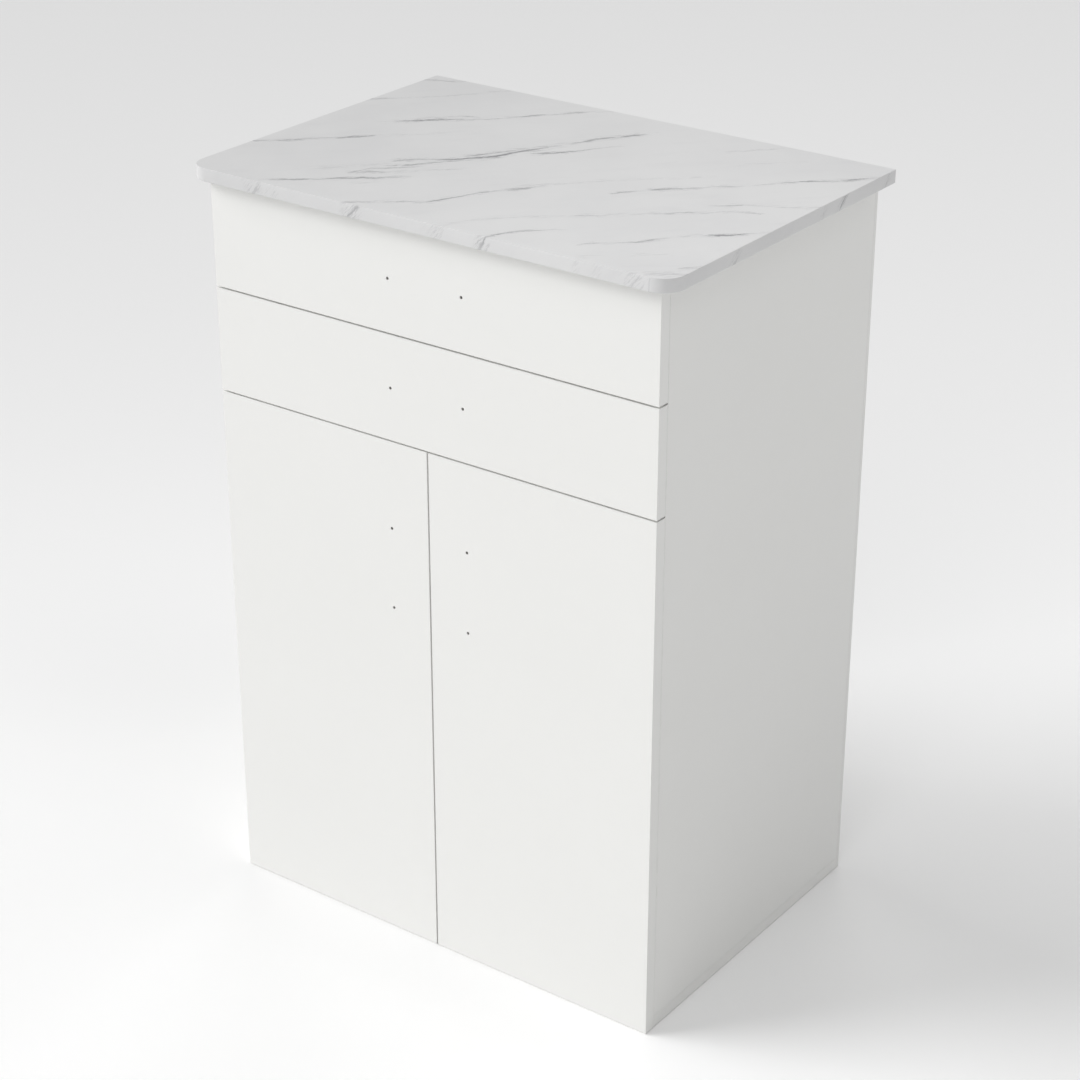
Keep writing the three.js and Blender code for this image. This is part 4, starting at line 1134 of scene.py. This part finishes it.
@dataclass
class Slide:
    """One ball-bearing slide: cabinet member, ball cage and drawer member."""

    level: Level
    side: Side
    steel: float = 0.00125
    cage_steel: float = 0.00075
    ball_radius: float = 0.002125
    balls_per_row: int = 4
    hole_inset: float = 0.035
    stop: float = 0.0045
    flat_head: ScrewHead = ScrewHead(0.0037, 0.0003, depth=0.0011, crown=0.3)
    pan_head: ScrewHead = ScrewHead(0.0035, 0.0010, depth=0.0011)

    def _node(self, part: str) -> str:
        """The node's name for a part of this slide."""
        return f"{self.level.value}_slide_{self.side.word}_{part}"

    def build(self) -> None:
        """Builds the two members with their screws, and the cage with its balls."""
        cabinet, drawer = self._node("cabinet_member"), self._node("drawer_member")
        for node in (cabinet, drawer):
            settle_copy(Copied(node, ZINC, ease=0.0003, bore_ease=0.0002, segments=2), Slot.STEEL)
        self._screws(cabinet, self.flat_head, self.stop, wall=True)
        self._screws(drawer, self.pan_head, 0.0, wall=False)
        self._cage()

    def _screws(self, node: str, head: ScrewHead, short: float, wall: bool) -> None:
        """A screw through each hole of a member, facing out of its channel.

        Args:
            node: the member's node.
            head: the kind of screw head.
            short: how far the member's rear hole is set forward by the stop.
            wall: True for the member on the side panel, False for the one on the drawer.
        """
        box = Box.of(node)
        facing = -self.side.value if wall else self.side.value
        web = (box.low if facing > 0 else box.high)[0] + facing * self.steel
        rows = (box.low[1] + self.hole_inset, box.high[1] - short - self.hole_inset)
        heads = head.row([(web, y, box.centre[2]) for y in rows], (facing, 0, 0))
        settle_small(node + "_screws", heads, ZINC, body_of(node), Slot.STEEL)

    def _cage(self) -> None:
        """The cage, a folded strip, and its balls, in two rows."""
        node = self._node("ball_cage")
        box, out = Box.of(node), self.side.value
        middle = box.centre[2]
        back = box.high[0] if out > 0 else box.low[0]
        ball_x = (box.low[0] if out > 0 else box.high[0]) + out * self.ball_radius
        half = box.half[2] - self.ball_radius + self.cage_steel / 2
        lip = ball_x - out * self.ball_radius / 2
        inner = back - out * self.cage_steel
        fold = half - self.cage_steel
        outer_face = ((lip, half), (back, half), (back, -half), (lip, -half))
        inner_face = ((lip, -fold), (inner, -fold), (inner, fold), (lip, fold))
        cage = along_y(np.array(outer_face + inner_face) + (0, middle), box.low[1], box.high[1])
        body = body_of(node)
        settle(cage.piece(node + "_strip", ZINC, 20.0), body, Slot.STEEL, node)
        pitch = 2 * box.half[1] / self.balls_per_row
        rows = box.low[1] + pitch * (np.arange(self.balls_per_row) + 0.5)
        row_z = box.half[2] - self.ball_radius
        balls = [ball((ball_x, y, middle + way * row_z), self.ball_radius) for y in rows for way in (-1, 1)]
        settle(Shell.joined(balls).piece(node + "_balls", POLISHED, 60.0), body, Slot.STEEL)


@dataclass
class Drawer:
    """One drawer: its front, its box and its two slides."""

    level: Level
    cap: ScrewHead = ScrewHead(0.0085, 0.0009, depth=0.0, crown=0.55, rings=6, steps=28)
    cap_set: float = 0.034
    cap_rise: tuple[float, float] = (0.028, 0.068)

    def _node(self, part: str) -> str:
        """The node's name for a part of this drawer."""
        return f"{self.level.value}_drawer_{part}"

    def build(self) -> None:
        """Builds the boards, the cover caps on the sides' inner faces and the slides."""
        settle_copy(Copied(self._node("front"), WHITE, FRONT_CORE), Slot.WHITE_BOARD)
        for part in ("side_left", "side_right", "back"):
            settle_copy(Copied(self._node(part), WHITE, CORE, ease=0.0004), Slot.WHITE_BOARD)
        settle_copy(Copied(self._node("bottom"), BACKING, ease=0.0002, segments=2), Slot.HARDBOARD)
        caps: list[Shell] = []
        for side in Side:
            box = Box.of(self._node("side_" + side.word))
            face = box.low[0] if side is Side.RIGHT else box.high[0]
            seats = [(face, box.low[1] + self.cap_set, box.low[2] + rise) for rise in self.cap_rise]
            caps += self.cap.row(seats, (-side.value, 0, 0))
            Slide(self.level, side).build()
        settle_small(self._node("cover_caps"), caps, NYLON, body_of(self._node("front")), Slot.PLASTIC)


@dataclass
class Hinge:
    """One cup hinge of a door."""

    side: Side
    place: str
    ear_offset: float = 0.0095
    ear_spacing: float = 0.045
    cup_centre: float = 0.0225
    plate_steel: float = 0.002
    plate_setback: float = 0.037
    plate_spacing: float = 0.032
    arm_screws: tuple[float, float] = (0.024, 0.046)
    ear_screw: ScrewHead = ScrewHead(0.0034, 0.0009, depth=0.0011)
    arm_screw: ScrewHead = ScrewHead(0.0034, 0.0007, depth=0.0014)

    def _node(self, part: str) -> str:
        """The node's name for a part of this hinge."""
        return f"{self.side.word}_{self.place}_hinge_{part}"

    def build(self) -> None:
        """Finishes the four stampings and adds the screws in the cup's ears, the plate and the arm."""
        for part in ("cup", "arm", "outer_link", "inner_link"):
            stamping = Copied(self._node(part), NICKEL, ease=0.0003, bore_ease=0.00018, segments=2)
            settle_copy(stamping, Slot.NICKEL)
        out = self.side.value
        cup, arm = Box.of(self._node("cup")), Box.of(self._node("arm"))
        door = Box.of("door_" + self.side.word)
        edge = (door.high if out > 0 else door.low)[0]
        ear_x = edge - out * (self.cup_centre + self.ear_offset)
        ears = [(ear_x, cup.high[1], cup.centre[2] + way * self.ear_spacing / 2) for way in (-1, 1)]
        heads = self.ear_screw.row(ears, (0, 1, 0))
        settle_small(self._node("cup_screws"), heads, NICKEL, body_of(self._node("cup")), Slot.NICKEL)
        wall, crest = (arm.high[0], arm.low[0]) if out > 0 else (arm.low[0], arm.high[0])
        plate_x = wall - out * self.plate_steel
        rear = door.high[1] + self.plate_setback
        seats = [(plate_x, rear, arm.centre[2] + way * self.plate_spacing / 2) for way in (-1, 1)]
        heads = self.ear_screw.row(seats, (-out, 0, 0))
        back = [(crest, door.high[1] + y, arm.centre[2]) for y in self.arm_screws]
        heads += self.arm_screw.row(back, (-out, 0, 0))
        settle_small(self._node("arm_screws"), heads, NICKEL, CABINET, Slot.NICKEL)


@dataclass
class Door:
    """One door and its two hinges."""

    side: Side

    def build(self) -> None:
        """Builds the door's board, then its hinges."""
        settle_copy(Copied("door_" + self.side.word, WHITE, FRONT_CORE), Slot.WHITE_BOARD)
        for place in ("lower", "upper"):
            Hinge(self.side, place).build()


# ---------------------------------------------------------------- studio


@dataclass(frozen=True)
class Lamp:
    """A distant soft lamp, by where it stands: its azimuth from the front to the right, and its height."""

    azimuth: float
    height: float
    strength: float
    softness: float = 30.0

    def build(self, number: int) -> None:
        """Adds a sun lamp that shines from there to the middle of the scene."""
        a, e = math.radians(self.azimuth), math.radians(self.height)
        source = Vector((math.sin(a) * math.cos(e), -math.cos(a) * math.cos(e), math.sin(e)))
        lamp = bpy.data.lights.new(f"lamp_{number}", "SUN")
        lamp.energy, lamp.angle = self.strength * math.pi, math.radians(self.softness)
        stand = bpy.data.objects.new(lamp.name, lamp)
        stand.rotation_mode = "QUATERNION"
        stand.rotation_quaternion = (-source).to_track_quat("-Z", "Y")
        bpy.context.scene.collection.objects.link(stand)


@dataclass(frozen=True)
class Dip:
    """Painted shade: a shallow soft dip in the floor's tone, by its middle, its reach along X and Y, and its
    depth.
    """

    x: float
    y: float
    reach_x: float
    reach_y: float
    depth: float

    def share(self, graph: ShaderGraph, x: Signal, y: Signal) -> Signal:
        """What is left of the tone: 1 - depth / exp(u^2 + v^2), for distances u and v over the reaches."""
        u, v = (x - self.x) * (1 / self.reach_x), (y - self.y) * (1 / self.reach_y)
        return 1 - self.depth * graph.math("EXPONENT", -1.0 * (u * u + v * v))


@dataclass
class Studio:
    """A pale floor that greys with distance, soft lamps from the left, an even sky and the camera."""

    eye: Triple = (1.5516, -2.1184, 1.7099)
    sight: Triple = (-0.532026, 0.726312, -0.435224)
    lens: float = 85.5
    sensor: float = 36.0
    lamps: tuple[Lamp, ...] = (
        Lamp(-150, 40, 0.106),
        Lamp(-80, 25, 0.295),
        Lamp(-55, 25, 0.177),
        Lamp(-55, 40, 0.269),
        Lamp(15, 40, 0.131),
        Lamp(150, 40, 0.102),
    )
    sky: float = 0.365
    horizon: float = 0.78
    floor_reach: float = 40.0
    floor_white: float = 0.95
    floor_tone: float = 1.04
    fade_start: float = 2.24
    fade_end: float = 9.0
    fade_far: float = 0.595
    fade_gain: float = 0.925
    # painted shade on the floor beside the cabinet and in front of it
    dips: tuple[Dip, ...] = (
        Dip(-0.456, 0.036, 0.453, 0.28, 0.119),
        Dip(0.063, -0.241, 0.189, 0.068, 0.051),
    )

    def build(self) -> None:
        """Builds the whole studio."""
        self._floor()
        self._sky()
        for number, lamp in enumerate(self.lamps):
            lamp.build(number)
        self._camera()
        bpy.context.scene.view_settings.view_transform = "Standard"

    @staticmethod
    def _rays(graph: ShaderGraph, *kinds: str) -> Signal:
        """1 for rays of any of those kinds and 0 for the rest."""
        paths = graph.add("ShaderNodeLightPath")
        found: Value = 0.0
        for kind in kinds:
            found = Signal(graph, paths.outputs[f"Is {kind} Ray"]).most(found)
        return found

    def _floor(self) -> None:
        """A flat floor whose tone falls with the distance along the line of sight from the viewer's feet.

        At a distance d, held between the fade's start and end, the tone is far tone + gain / d.
        The dips are painted shade, which offsets the light that the cabinet's white faces throw on the floor.
        For the rays that carry light the floor is plain white.
        """
        graph = ShaderGraph(bpy.data.materials.new("studio_floor"))
        heading = Vector(self.sight[:2]).normalized()
        offset = -(heading.x * self.eye[0] + heading.y * self.eye[1])
        place = graph.place()
        distance = graph.vector("DOT_PRODUCT", place, (heading.x, heading.y, 0.0), output=1) + offset
        closeness = 1 / distance.most(self.fade_start).least(self.fade_end)
        tone = (closeness * self.fade_gain + self.fade_far) * self.floor_tone
        x, y, _ = graph.split(place)
        for dip in self.dips:
            tone = tone * dip.share(graph, x, y)
        seen, plain = (
            graph.signal("ShaderNodeBsdfDiffuse", inputs={"Color": colour})
            for colour in (tone, (self.floor_white,) * 3)
        )
        looked_at = self._rays(graph, "Camera", "Glossy", "Transmission")
        shader = graph.signal("ShaderNodeMixShader", inputs={0: looked_at, 1: plain, 2: seen})
        far = self.floor_reach
        mesh = bpy.data.meshes.new("studio_floor")
        mesh.from_pydata([(-far, -far, 0), (far, -far, 0), (far, far, 0), (-far, far, 0)], [], [(0, 1, 2, 3)])
        mesh.materials.append(graph.close(shader))
        floor = bpy.data.objects.new("studio_floor", mesh)
        bpy.context.scene.collection.objects.link(floor)

    def _sky(self) -> None:
        """An even white sky for light, which shows as pale grey where it is seen."""
        world = bpy.data.worlds.new("studio_sky")
        graph = ShaderGraph(world)
        strength = self._rays(graph, "Camera", "Transmission") * (self.horizon - self.sky) + self.sky
        light = {"Color": (1.0, 1.0, 1.0), "Strength": strength}
        backdrop = graph.signal("ShaderNodeBackground", inputs=light)
        graph.add("ShaderNodeOutputWorld", inputs={"Surface": backdrop})
        bpy.context.scene.world = world

    def _camera(self) -> None:
        """The camera, which looks down on the cabinet from the front and the right."""
        camera = bpy.data.cameras.new("camera")
        camera.lens, camera.sensor_width = self.lens, self.sensor
        stand = bpy.data.objects.new("camera", camera)
        stand.location = self.eye
        stand.rotation_mode = "QUATERNION"
        stand.rotation_quaternion = Vector(self.sight).to_track_quat("-Z", "Y")
        bpy.context.scene.collection.objects.link(stand)
        bpy.context.scene.camera = stand


def main() -> None:
    """Builds the studio and every sub-assembly in order."""
    logging.basicConfig(level=logging.INFO, format="%(name)s: %(message)s")
    Studio().build()
    Worktop().build()
    Carcass().build()
    SmallParts().build()
    for level in Level:
        Drawer(level).build()
    for side in Side:
        Door(side).build()


if __name__ == "__main__":
    main()
